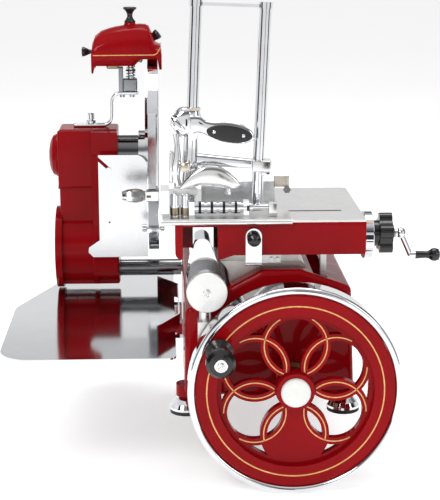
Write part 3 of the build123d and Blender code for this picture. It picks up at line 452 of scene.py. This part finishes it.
def slotted_screw(name, start, direction, radius, material, body, slot_angle=0.4):
    """Round screw head with a cut slot, standing on a surface."""
    start, direction = Vector(start), Vector(direction).normalized()
    first, second = axes_along(direction)
    along = first * cos(slot_angle) + second * sin(slot_angle)
    across = direction.cross(along)
    levels = [(0.0, 1.0), (0.25, 1.0), (0.40, 0.93), (0.45, 0.84), (0.46, 0.55), (0.46, 0.2)]
    slot_half, slot_depth, flank_top = 0.13, 0.24, 0.3  # shares of the radius, like the levels
    rings = []
    for height, share in levels:
        ring = []
        for angle in around(48):
            u, v = radius * share * cos(angle), radius * share * sin(angle)
            sunk = slot_depth if abs(v) < slot_half * radius and height > flank_top else 0.0
            lift = (height - sunk) * radius
            ring.append(start + (along * u + across * v + direction * lift) * MM)
        rings.append(ring)
    vertices, faces = rings_to_mesh(rings)
    return add_piece(name, vertices, faces, material, body, 28)


def ribbon(name, runs, normal, width, material, body, lift=0.12):
    """Painted line: each run is a list of points (metres) on a surface with one normal."""
    vertices, faces = [], []
    normal = Vector(normal).normalized()
    for run in runs:
        points = [Vector(point) for point in run]
        closed = (points[0] - points[-1]).length < 1e-7
        base = len(vertices)
        for index, point in enumerate(points):
            before = points[index - 1] if index else (points[-2] if closed else point)
            after = points[index + 1] if index < len(points) - 1 else (points[1] if closed else point)
            across = (after - before).normalized().cross(normal) * (width / 2 * MM)
            for side, height in ((-1, -0.05), (-1, lift), (1, lift), (1, -0.05)):
                vertices.append(point + across * side + normal * (height * MM))
        for index in range(len(points) - 1):
            here, there = base + 4 * index, base + 4 * index + 4
            for step in range(4):
                following = (step + 1) % 4
                faces.append((here + step, here + following, there + following, there + step))
        if not closed:
            faces.append((base, base + 1, base + 2, base + 3))
            last = base + 4 * (len(points) - 1)
            faces.append((last + 3, last + 2, last + 1, last))
    return add_piece(name, vertices, faces, material, body, 60)


def arc(centre, radius, start, end, steps, place):
    """Points on an arc; place turns (a, b) in millimetres into a point in metres."""
    points = []
    for step in range(steps + 1):
        angle = start + (end - start) * step / steps
        points.append(place(centre[0] + radius * cos(angle), centre[1] + radius * sin(angle)))
    return points


def in_frame(x, y, z):
    """Point from millimetres in the shared frame."""
    return Vector((x, y, z)) * MM


def rounded_box(name, low, high, material, body, bevel=0.8, place=in_frame, replaces=()):
    """Block between two corners in millimetres with its edges rounded over; place sets its axes."""
    box = bmesh.new()
    bmesh.ops.create_cube(box, size=1.0)
    for vertex in box.verts:
        vertex.co = [a + (b - a) * (share + 0.5) for a, b, share in zip(low, high, vertex.co)]
    bmesh.ops.bevel(box, geom=box.edges[:], offset=bevel, segments=3, profile=0.6, affect="EDGES")
    box.verts.index_update()
    vertices = [place(*vertex.co) for vertex in box.verts]
    faces = [tuple(vertex.index for vertex in face.verts) for face in box.faces]
    box.free()
    return add_piece(name, vertices, faces, material, body, 40, replaces)


# ---------------------------------------------------------------- flywheel
# in millimetres from the wheel's axis
ring_line_radius = 125.9
petal_distance = 66.0  # centres of the six interlaced circles
petal_radius = 44.5
hub_reach = 28.6  # where the petals' lines start, by the hub
tail_reach = 107.0  # and where they end, by the ring
short_petal, short_reach = 4, 87.5  # the lower petal whose line ends sooner
web_recess = 9  # the web's face behind the ring's


def on_web(a, b):
    """Point in front of the flywheel's recessed web, from millimetres about its axis."""
    return Vector((wheel_axis.x + a * MM, wheel_face_y + web_recess * MM, wheel_axis.z + b * MM))


def on_ring(a, b):
    """Point on the front of the flywheel's painted ring."""
    return Vector((wheel_axis.x + a * MM, wheel_face_y, wheel_axis.z + b * MM))


def petal_runs():
    """The six interlaced circles, broken at the hub and outside the windows."""
    runs = []
    for petal in range(6):
        bearing = radians(30 + 60 * petal)
        centre = (petal_distance * cos(bearing), petal_distance * sin(bearing))
        reach_limit = short_reach if petal == short_petal else tail_reach
        run = []
        for step in range(181):
            angle = bearing + 2 * pi * step / 180
            a = centre[0] + petal_radius * cos(angle)
            b = centre[1] + petal_radius * sin(angle)
            if hub_reach < sqrt(a * a + b * b) < reach_limit:
                run.append(on_web(a, b))
            elif run:
                runs.append(run)
                run = []
        if len(run) > 1:
            runs.append(run)
    return [run for run in runs if len(run) > 1]


front_way = (0, -1, 0)
ring_line = arc((0, 0), ring_line_radius, 0, 2 * pi, 144, on_ring)
ribbon("wheel_ring_line", [ring_line], front_way, 1.9, gold, "flywheel")
ribbon("wheel_petal_lines", petal_runs(), front_way, 1.7, gold, "flywheel")

grip_axis = middle("grip_spindle")
grip_end = Vector((grip_axis.x, low_corner("grip_spindle").y, grip_axis.z))
lathe("grip_end_washer", grip_end + Vector((0, 0.0022, 0)), front_way,
      [(0, 9.2), (2.4, 9.2), (3.0, 8.6), (3.1, 0.5)], looks["chrome"], "flywheel")
slotted_screw("grip_end_screw", grip_end - Vector((0, 0.0009, 0)), front_way, 5.2,
              soft_chrome, "flywheel", 0.5)

guide_axis = middle("guide_rod")
guide_front = Vector((guide_axis.x, low_corner("guide_rod_mounts").y, guide_axis.z))
slotted_screw("guide_cap_screw", guide_front, front_way, 5.4, cap_steel, "root", 0.6)


# ---------------------------------------------------------------- sharpener hood
hood_low = low_corner("sharpener_hood")
hood_high = high_corner("sharpener_hood")
belt_z = 0.5005  # where the hood's crown meets its skirt
hood_rise = hood_high.z - belt_z - 0.0006


def blend_table(table, share):
    """Smooth value from a list of (place, value) at a share of the way."""
    for (x0, y0), (x1, y1) in zip(table, table[1:]):
        if share <= x1:
            t = (share - x0) / (x1 - x0)
            t = t * t * (3 - 2 * t) if abs(y1 - y0) > 0.2 else t
            return y0 + (y1 - y0) * t
    return table[-1][1]


# (share of the width or of the depth, share of the crown's rise)
hood_across = [(0, 0.0), (0.012, 0.36), (0.05, 0.59), (0.14, 0.76), (0.30, 0.89), (0.50, 0.965),
               (0.68, 1.0), (0.77, 0.985), (0.815, 0.93), (0.865, 0.66), (0.91, 0.38), (0.94, 0.33),
               (0.985, 0.30), (1.0, 0.0)]
hood_deep = [(0, 0.0), (0.02, 0.34), (0.08, 0.60), (0.20, 0.87), (0.36, 0.98), (0.5, 1.0)]
# (share of the width where each step of the skirt ends, the height of its lower edge)
skirt_steps = [(0.04, 0.472), (0.62, 0.483), (0.70, 0.489), (0.96, 0.4935), (inf, 0.477)]


def hood_point(u, v):
    """Hood surface: u runs left to right, v front to back."""
    x = hood_low.x + (hood_high.x - hood_low.x) * u
    y = hood_low.y + (hood_high.y - hood_low.y) * v
    lift = blend_table(hood_across, u) * blend_table(hood_deep, min(v, 1 - v))
    return Vector((x, y, belt_z + hood_rise * lift))


def hood_skirt_bottom(x):
    """Lower edge: deeper at the left end, cut up over the blade at the right."""
    share = (x - hood_low.x) / (hood_high.x - hood_low.x)
    return next(bottom for end, bottom in skirt_steps if share < end)


def build_hood():
    """Crowned red shell: a grid of points over the crown, and a skirt down from its rim."""
    across = [0, 0.012, 0.03, 0.05, 0.09, 0.14, 0.20, 0.26, 0.33, 0.40, 0.47, 0.54, 0.61, 0.66, 0.70,
              0.74, 0.77, 0.79, 0.815, 0.84, 0.865, 0.89, 0.91, 0.925, 0.94, 0.965, 0.985, 1.0]
    deep = [0, 0.02, 0.05, 0.08, 0.12, 0.16, 0.20, 0.28, 0.36, 0.43, 0.5]
    deep = deep + [1 - value for value in reversed(deep[:-1])]
    vertices = [hood_point(u, v) for v in deep for u in across]
    columns = len(across)
    faces = []
    for row in range(len(deep) - 1):
        for column in range(columns - 1):
            corner = row * columns + column
            faces.append((corner, corner + 1, corner + columns + 1, corner + columns))
    rim = list(range(columns))
    rim += [row * columns + columns - 1 for row in range(1, len(deep))]
    rim += [(len(deep) - 1) * columns + column for column in range(columns - 2, -1, -1)]
    rim += [row * columns for row in range(len(deep) - 2, 0, -1)]
    start = len(vertices)
    for index in rim:
        point = vertices[index]
        vertices.append(Vector((point.x, point.y, hood_skirt_bottom(point.x))))
    for step, index in enumerate(rim):
        after = (step + 1) % len(rim)
        faces.append((index, rim[after], start + after, start + step))
    hood = add_piece("hood_shell", vertices, faces, looks["red_enamel"], "sharpener", 62,
                     replaces=("sharpener_hood",))
    round_edges(hood, 3.2, 50)
    shell = hood.modifiers.new("wall", "SOLIDIFY")
    shell.thickness = 2.6 * MM
    shell.offset = -1
    shell.use_even_offset = False


build_hood()


def hood_belt():
    """Gold line round the hood's belt, rising at the right end of the front."""
    front_y, rear_y = hood_low.y, hood_high.y
    left_x, right_x = hood_low.x, hood_high.x
    line_z = belt_z - 0.6 * MM
    rise = [(0, 0), (0.90, 0.0006), (0.935, 0.003), (0.965, 0.009), (0.99, 0.0135)]
    front_run = []
    for step in range(41):
        share = 0.03 + 0.955 * step / 40
        x = left_x + (right_x - left_x) * share
        front_run.append((x, front_y, line_z + blend_table(rise, share)))
    ribbon("hood_line_front", [front_run], (0, -1, 0), 1.5, gold, "sharpener")
    rear_run = [(x, rear_y, z) for x, _, z in front_run]
    ribbon("hood_line_rear", [rear_run], (0, 1, 0), 1.5, gold, "sharpener")
    left_run = [(left_x, front_y + (rear_y - front_y) * share, line_z) for share in (0.05, 0.5, 0.95)]
    ribbon("hood_line_left", [left_run], (-1, 0, 0), 1.5, gold, "sharpener")


hood_belt()


# ---------------------------------------------------------------- meat clamp
def clamp_loft(name, stations, material, body, segments=28, power=2.4, replaces=(),
               place=clamp_point):
    """Smooth bar through stations (x, y, z, half height, half thickness) in millimetres.

    place sets the axes: the clamp's leaning ones, or the shared frame's.
    """
    rings = []
    for index, (x, y, z, tall, thick) in enumerate(stations):
        before = stations[max(index - 1, 0)]
        after = stations[min(index + 1, len(stations) - 1)]
        run = Vector((after[0] - before[0], after[1] - before[1], after[2] - before[2])).normalized()
        upward = Vector((-run.z, 0, run.x)).normalized()
        ring = []
        for angle in around(segments):
            c, s = cos(angle), sin(angle)
            a = copysign(abs(c) ** (2 / power), c) * tall
            b = copysign(abs(s) ** (2 / power), s) * thick
            ring.append(place(x + upward.x * a, y + b, z + upward.z * a))
        rings.append(ring)
    vertices, faces = rings_to_mesh(rings)
    return add_piece(name, vertices, faces, material, body, 50, replaces)


def smooth_stations(keys, steps=6):
    """Catmull-Rom points through a short list of stations."""
    stations = []
    for index in range(len(keys) - 1):
        p0 = keys[max(index - 1, 0)]
        p1, p2 = keys[index], keys[index + 1]
        p3 = keys[min(index + 2, len(keys) - 1)]
        for step in range(steps):
            t = step / steps
            stations.append(tuple(
                0.5 * (2 * b + (c - a) * t + (2 * a - 5 * b + 4 * c - d) * t * t
                       + (3 * b - a - 3 * c + d) * t ** 3)
                for a, b, c, d in zip(p0, p1, p2, p3)))
    stations.append(keys[-1])
    return stations


def smooth_pairs(profile, steps=3):
    """The profile with points added along a smooth curve through it."""
    return [station[:2] for station in smooth_stations([(a, b, 0, 0, 0) for a, b in profile], steps)]


handle_depth = -18.5
handle_line = [(-50, 128, 13, 4.5), (-43, 129, 12.5, 4.5), (-33, 126, 9.5, 4.2), (-20, 122.5, 11.5, 4.4),
               (-3, 119.5, 15.2, 4.5), (17, 117, 14.8, 4.5), (31, 114, 10.4, 4.3), (38, 112, 4.8, 3.2),
               (41, 111.4, 1.0, 1.0)]
handle_stations = [(x, handle_depth, z, tall, thick) for x, z, tall, thick in handle_line]
clamp_loft("clamp_handle_frame", smooth_stations(handle_stations), looks["chrome"], "clamp_handle",
           power=2.3, replaces=("clamp_handle",))


def oval_scale(name, depth, way):
    """Domed oval grip scale with two rivets, on one side of the handle."""
    centre_x, centre_z = 4, 117.5
    half_length, half_width = 33, 12.2
    tilt = radians(-6)
    levels = [(0.0, 1.0), (1.2, 1.0), (2.0, 0.975), (2.7, 0.92), (3.1, 0.80), (3.35, 0.55), (3.4, 0.2)]
    rings = []
    for height, share in levels:
        ring = []
        for angle in around(64):
            a, b = half_length * share * cos(angle), half_width * share * sin(angle)
            ring.append(clamp_point(centre_x + a * cos(tilt) - b * sin(tilt), depth + way * height,
                                    centre_z + a * sin(tilt) + b * cos(tilt)))
        rings.append(ring)
    vertices, faces = rings_to_mesh(rings)
    add_piece(name, vertices, faces, handle_scale, "clamp_handle", 50,
              ("clamp_scales",) if way < 0 else ())
    for mark, shift in (("a", -22), ("b", 20)):
        foot = clamp_point(centre_x + shift, depth + way * 2.2, centre_z - shift * 0.105)
        lathe(name + "_rivet_" + mark, foot, (0, way, 0), [(0, 2.5), (0.9, 2.5), (1.5, 1.9), (1.7, 0.8)],
              looks["chrome"], "clamp_handle", 20)


oval_scale("grip_scale_front", handle_depth - 3.6, -1)
oval_scale("grip_scale_rear", handle_depth + 3.6, 1)


leaf_depth = -31


def leaf_lever():
    """Pressed leaf-shaped lever: a thin crowned blade between an upper and a lower edge."""
    upper = [(-66, 36.5), (-58, 50), (-47, 61.5), (-36, 69.5), (-24.5, 73), (-12, 72.5), (-1, 68), (9, 61),
             (17, 54), (22.5, 47)]
    lower = [(-66, 36), (-57, 37.5), (-47, 40), (-36, 43), (-24.5, 43.5), (-12, 42.5), (-1, 41), (10, 39.5),
             (18, 41.5), (22.5, 46.5)]
    upper, lower = smooth_stations(upper, 5), smooth_stations(lower, 5)
    rings = []
    for (ux, uz), (lx, lz) in zip(upper, lower):
        spread = max(abs(uz - lz), 0.8)
        ring = []
        for angle in around(24):
            share = (1 - cos(angle)) / 2
            crown = (0.16 * spread + 1.2) * sin(angle)
            crown *= 1.0 if crown > 0 else 0.55
            ring.append(clamp_point(lx + (ux - lx) * share, leaf_depth - crown, lz + (uz - lz) * share))
        rings.append(ring)
    vertices, faces = rings_to_mesh(rings)
    add_piece("leaf_lever", vertices, faces, soft_chrome, "clamp_lever", 60, ("clamp_lever",))


leaf_lever()
lathe("leaf_pivot_knob", clamp_point(-57.5, -10, 68), front_way,
      [(0, 5.0), (12, 5.0), (13.5, 6.8), (16.5, 7.4), (19.5, 6.9), (21.2, 4.2), (21.7, 1.0)],
      nickel, "clamp", 36)
lathe("leaf_screw", clamp_point(6, leaf_depth, 31.5), clamp_up,
      [(0, 3.0), (0.8, 4.6), (4.5, 4.6), (5.3, 3.2), (9, 3.2)], looks["chrome"], "clamp_lever", 30,
      turn=lambda angle: 1 + 0.03 * cos(15 * angle))


def clamp_head():
    """Polished head: sculpted boss on the left column, cross bar, end block, hanger and pad."""
    bright = looks["chrome"]
    column_x = -49.1
    boss = [(-66, -1, 150, 3, 3), (-65, -1, 147.5, 9, 8), (-62.5, -1, 141, 16, 12),
            (-61.5, -1, 129, 18.5, 13.5), (-62, -1, 119, 16.5, 12.5), (-64, -1, 112, 10, 9),
            (-66, -1, 108.5, 4, 4)]
    clamp_loft("clamp_boss", smooth_stations(boss, 4), bright, "clamp", replaces=("clamp_head",))
    fold = [(-79, -9, 136, 2.5, 2.5), (-74, -13, 132, 3.6, 3), (-67, -15, 124, 4.2, 3.2),
            (-60, -13.5, 119, 3.2, 3)]
    clamp_loft("clamp_boss_fold", smooth_stations(fold, 5), bright, "clamp")
    collar = [(0, 9.6), (0.4, 11), (4, 12.6), (16, 12.2), (24, 11.2), (46, 10.8), (56, 12.2), (72, 13),
              (80, 12.4), (86, 10.6), (86.4, 9.6)]
    lathe("clamp_left_collar", clamp_point(column_x, 0, 60), clamp_up, collar, bright, "clamp", 48)
    lathe("clamp_collar_nut", clamp_point(column_x, 0, 146.5), clamp_up,
          [(0, 9.6), (0.3, 11.4), (4.4, 11.4), (4.8, 9.6)], nickel, "clamp", 6)
    cross = [(-50, 0, 74, 10.5, 8), (-38, 0, 74.4, 10, 9), (-15, 0, 73.6, 9, 9), (15, 0, 72.5, 8, 8.6),
             (38, 0, 71.5, 7.4, 8.2)]
    clamp_loft("clamp_cross_bar", smooth_stations(cross, 6), bright, "clamp", power=3.4)
    rounded_box("clamp_end_block", (39, -13.5, 62), (67, 13.5, 78.5), soft_chrome, "clamp", 2.2,
                clamp_point)
    rounded_box("clamp_end_foot", (53, -12, 56.5), (66, 12, 62.6), bright, "clamp", 1.6,
                clamp_point)
    hanger = [(-72, -10, 113, 5, 4), (-70, -11, 98, 4, 3.6), (-69, -12, 82, 5.5, 4), (-70, -12, 66, 7, 4.4),
              (-69, -12, 50, 5, 4), (-66, -12, 38, 6, 4)]
    clamp_loft("clamp_hanger", smooth_stations(hanger, 5), bright, "clamp")
    rounded_box("clamp_side_plate", (-80, -7, 40), (-74, 9, 86), soft_chrome, "clamp", 1.4,
                clamp_point)
    rounded_box("clamp_pad", (-73, -19, 26), (-38, -3, 35.5), looks["ivory_cap"], "clamp", 2.6,
                clamp_point)
    lathe("clamp_pad_spigot", clamp_point(-56, -11, 35), clamp_up,
          [(0, 6.5), (1, 7.2), (4, 7.2), (6, 5), (30, 4)], soft_chrome, "clamp", 30)


clamp_head()


# ---------------------------------------------------------------- sharpener mount, knobs and casing relief
mount_y = 160  # the sharpener's middle plane


def sharpener_mount():
    """Bent strap from the casing to the sharpener, its grey guide block and the stone holder."""
    # along X: (x, z, half thickness, half width)
    strap = [(-293.5, 382.6, 2.4, 5), (-292, 382.6, 3.1, 8), (-270, 382.6, 3.1, 8), (-247, 382.8, 3.1, 8),
             (-240, 384.2, 3.0, 8), (-235, 388, 2.9, 8), (-232.4, 394, 2.8, 8), (-231.8, 408, 2.7, 8),
             (-231.6, 420, 2.7, 8), (-230, 426.5, 2.8, 8), (-226, 431.6, 2.9, 8), (-220, 434.4, 3.0, 8),
             (-212, 435, 3.0, 8), (-190, 435, 3.0, 8), (-188.4, 435, 2.2, 6)]
    stations = [(x, mount_y, z, thick, wide) for x, z, thick, wide in strap]
    clamp_loft("sharpener_strap", smooth_stations(stations, 4), looks["chrome"], "root", 40, 4.2,
               ("sharpener_arm",), in_frame)
    rounded_box("guide_block", (-212, 149.5, 438.2), (-189.5, 170.5, 458.6), grey_steel, "root",
                2.2)
    rounded_box("guide_side_plate", (-219.5, 152.5, 437), (-212.2, 167.5, 477.5), grey_steel, "root",
                1.2)
    lathe("guide_washer", in_frame(-200, mount_y, 470.5), (0, 0, 1),
          [(0, 6.6), (0.3, 8.2), (2.2, 8.2), (2.5, 6.6)], looks["black_plastic"], "root", 40)
    rounded_box("stone_holder", (-239, 148, 475), (-219, 172, 487), aged_brass, "sharpener", 3.0)


def hood_knob(name, start, direction, profile, collar):
    """Black waisted knob, with a red enamel collar at its foot where one is asked for."""
    lathe(name, start, direction, smooth_pairs(profile), looks["black_plastic"], "sharpener",
          48, replaces=("hood_knobs",) if collar else ())
    if collar:
        lathe(name + "_collar", start - Vector(direction) * 9 * MM, direction,
              [(0, 13), (2, 12.6), (6, 9.5), (9.5, 8.6), (10, 6)], looks["red_enamel"], "sharpener",
              48)


def deflector_screw():
    """Eight-sided tapered knob that locks the deflector, with its brass nut on the guard."""
    knob_length = 21.3 * MM
    foot = middle("deflector_knob")
    start = Vector((high_corner("deflector_knob").x - knob_length, foot.y, foot.z))
    profile = [(0, 6.5), (0.6, 7.6), (3.4, 7.6), (4, 9), (14, 11.2), (24, 10.4), (35, 7.6), (36.4, 6.2),
               (36.8, 2)]
    lathe("deflector_screw_knob", start, (-1, 0, 0), profile, soft_chrome, "deflector_screw", 8,
          replaces=("deflector_knob",))
    lathe("deflector_screw_shank", start, (1, 0, 0), [(0, 3), (21, 3), (21.3, 2.4)], looks["chrome"],
          "deflector_screw", 24)
    lathe("guard_nut", start + Vector((1.5, 0, 0)) * MM, (1, 0, 0),
          [(0, 9.2), (0.8, 10.2), (6.6, 10.2), (7.4, 9.2)], aged_brass, "root", 6)


def casing_relief():
    """Raised upper block and side rib of the blade casing."""
    rounded_box("casing_upper_block", (-319.6, 121.5, 284.5), (-222.4, 131, 378.4), looks["red_enamel"],
                "root", 3.6)
    drum = middle("countershaft") / MM
    rib_radius = 66
    outline = [(131, 344), (113, 344), (111, 340), (111, 232)]
    for step in range(13):
        angle = radians(138 + 80 * step / 12)
        outline.append((drum.y + rib_radius * cos(angle), drum.z + rib_radius * sin(angle)))
    outline += [(drum.y - 30, drum.z - 30), (131, 200)]
    low_x, high_x = -264.4, -222.8
    rings = [[in_frame(x, y, z) for y, z in outline] for x in (low_x, high_x)]
    vertices, faces = rings_to_mesh(rings)
    rib = add_piece("casing_rib", vertices, faces, looks["red_enamel"], "root", 30)
    round_edges(rib, 2.6, 40)


sharpener_mount()
hood_knob("hood_top_knob", in_frame(-200, mount_y, 549.2), (0, 0, 1),
          [(0, 8.6), (1.2, 9.4), (3.5, 7.6), (8, 4.8), (13, 4.6), (18, 7.2), (21.5, 10.8), (23.6, 10.8),
           (24.6, 8.6), (24.9, 2)], True)
hood_knob("hood_side_knob", in_frame(-168.5, mount_y, 520), Vector((0.78, 0, 0.62)).normalized(),
          [(0, 4.4), (3, 4.6), (8, 6.0), (14, 8.0), (17, 8.2), (19, 7.0), (19.6, 2)], False)
deflector_screw()
casing_relief()


# ---------------------------------------------------------------- fence, gripper and carriage details
def fence():
    """Back plate of the clamp with its pale thumb tab and nut."""
    rounded_box("fence_sheet", (-92, -90, 300), (18, -88, 334), deflector_steel, "feed_slide",
                0.7, replaces=("fence_plate",))
    rounded_box("fence_foot", (-88, -110, 299.4), (12, -89, 301.8), table_steel, "feed_slide",
                0.6)
    rounded_box("fence_tab", (16, -91.5, 325), (39, -87.5, 342), nickel, "feed_slide", 1.9)
    lathe("fence_tab_nut", in_frame(35.5, -91, 321.5), front_way,
          [(0, 5.2), (0.4, 5.6), (4.6, 5.6), (5, 5.1)], looks["machined_steel"], "feed_slide", 6)


def gripper():
    """Black bands between the gripper's rings, its end rod, and the dark barrels' caps."""
    bar_y, bar_z = -172, 312
    band_pitch = 17.2
    for band in range(5):
        lathe(f"gripper_band_{band}", in_frame(-98.2 + band_pitch * band, bar_y, bar_z), (1, 0, 0),
              [(0, 8.2), (0.3, 8.9), (3.7, 8.9), (4.0, 8.2)], looks["black_plastic"], "feed_slide",
              40)
    lathe("gripper_end_rod", in_frame(-26.2, bar_y, bar_z), (1, 0, 0),
          [(0, 5.2), (1, 6.4), (6, 6.4), (7, 4), (30, 4), (30.4, 3.4)], looks["chrome"], "feed_slide",
          32)
    rounded_box("gripper_end_block", (2, -178, 299.4), (15, -166, 319), soft_chrome, "feed_slide",
                1.2)
    for mark, x in (("left", -132), ("right", -117)):
        lathe("barrel_sleeve_" + mark, in_frame(x, -168, 300.5), (0, 0, 1),
              [(0, 6.5), (0.4, 6.9), (10.6, 6.9), (11, 6.5)], aged_brass, "feed_slide", 40)
        lathe("barrel_cap_" + mark, in_frame(x, -168, 329), (0, 0, 1),
              [(0, 6.4), (1.2, 6.2), (2.6, 4.6), (3.2, 1.5)], looks["chrome"], "feed_slide", 36)


def dial_marks():
    """Setting marks on the chrome collar: one orange line and black ones."""
    collar_low, collar_high = low_corner("dial_collar"), high_corner("dial_collar")
    centre = middle("dial_collar")
    radius = (collar_high.z - collar_low.z) / 2
    for mark, bearing, paint in (("orange", 41, gold), ("black_a", 20, looks["black_plastic"]),
                                 ("black_b", -4, looks["black_plastic"])):
        outward = Vector((0, -cos(radians(bearing)), sin(radians(bearing))))
        foot = centre + outward * (radius + 0.02 * MM)
        run = [(collar_low.x + 1.5 * MM, foot.y, foot.z), (collar_high.x - 1.5 * MM, foot.y, foot.z)]
        ribbon("collar_mark_" + mark, [run], outward, 1.8, paint, "carriage", 0.3)


fence()
gripper()
dial_marks()


# ---------------------------------------------------------------- camera, light and floor
def camera():
    """The photograph's view: a long lens, pitched down and turned a little to the right."""
    data = bpy.data.cameras.new("camera")
    data.lens = 100.8
    data.sensor_width = 36.0
    data.clip_end = 100
    eye = bpy.data.objects.new("camera", data)
    eye.location = (-0.1461, -2.1327, 0.7257)
    eye.rotation_euler = (radians(90 - 13.65), 0, radians(-2.3))
    bpy.context.scene.collection.objects.link(eye)
    bpy.context.scene.camera = eye


def facing(place, aim):
    """Rotation that turns a lamp's or a card's -Z axis from a place towards an aim."""
    return (Vector(aim) - Vector(place)).to_track_quat("-Z", "Y").to_euler()


def light_panel(name, place, aim, width, height, power):
    data = bpy.data.lights.new(name, "AREA")
    data.shape = "RECTANGLE"
    data.size, data.size_y = width, height
    data.energy = power
    lamp = bpy.data.objects.new(name, data)
    lamp.location = place
    lamp.rotation_euler = facing(place, aim)
    bpy.context.scene.collection.objects.link(lamp)


def flat_sheet(name, width, height, z, material):
    """Flat rectangle about its own origin, for the floor and the cards."""
    x, y = width / 2, height / 2
    mesh = bpy.data.meshes.new(name)
    mesh.from_pydata([(-x, -y, z), (x, -y, z), (x, y, z), (-x, y, z)], [], [(0, 1, 2, 3)])
    mesh.materials.append(material)
    sheet = bpy.data.objects.new(name, mesh)
    bpy.context.scene.collection.objects.link(sheet)
    return sheet


def dark_card(name, place, aim, width, height):
    """Black card beside the camera, seen only in the polished parts' reflections."""
    felt = Shader(name, (0.02, 0.02, 0.02), roughness=1.0, Specular_IOR_Level=0.0)
    felt.colours(felt.noise(60, 3), [(0.3, (0.012, 0.012, 0.012)), (0.7, (0.03, 0.03, 0.03))])
    card = flat_sheet(name, width, height, 0, felt.material)
    card.location = place
    card.rotation_euler = facing(place, aim)
    card.visible_camera = False
    card.visible_diffuse = False
    card.visible_shadow = False


def studio_world():
    """Sky that is bright low down, dark at middle height and bright overhead, for the reflections."""
    world = bpy.data.worlds.new("studio")
    world.use_nodes = True
    sky = world.node_tree
    background = sky.nodes["Background"]
    coordinates = sky.nodes.new("ShaderNodeTexCoord")
    split = sky.nodes.new("ShaderNodeSeparateXYZ")
    ramp = sky.nodes.new("ShaderNodeValToRGB")
    sky.links.new(coordinates.outputs["Generated"], split.inputs["Vector"])
    height = sky.nodes.new("ShaderNodeMapRange")
    height.inputs["From Min"].default_value = -0.1
    height.inputs["From Max"].default_value = 1.0
    sky.links.new(split.outputs["Z"], height.inputs["Value"])
    sky.links.new(height.outputs["Result"], ramp.inputs["Fac"])
    levels = [(0.0, 1.25), (0.34, 1.30), (0.42, 0.62), (0.52, 0.20), (0.66, 0.26), (0.82, 0.90), (1.0, 1.2)]
    fill_ramp(ramp.color_ramp, [(place, (level, level, level * 1.01)) for place, level in levels])
    sky.links.new(ramp.outputs["Color"], background.inputs["Color"])
    background.inputs["Strength"].default_value = 0.72
    bpy.context.scene.world = world


def studio():
    """White floor, sky, three light panels and three dark cards."""
    floor = flat_sheet("studio_floor", 60.0, 60.0, cad_box[0][2] - 0.001, floor_paint())
    studio_world()
    light_panel("key", (-1.6, -2.2, 2.6), (0, 0, 0.2), 1.2, 1.2, 44)
    light_panel("fill", (2.4, -1.5, 1.6), (0, 0, 0.2), 1.2, 1.4, 16)
    light_panel("top", (0.2, 0.6, 3.0), (0, 0, 0), 2.0, 1.2, 34)
    dark_card("card_left", (-0.95, -0.50, 0.55), (0.0, -0.2, 0.3), 0.50, 1.1)
    dark_card("card_right", (1.05, -0.45, 0.55), (0.0, -0.2, 0.3), 0.45, 1.1)
    dark_card("card_front", (0.30, -1.9, 0.10), (0.05, 0.0, 0.3), 0.26, 1.0)
    bpy.context.scene.view_settings.view_transform = "Standard"


camera()
studio()
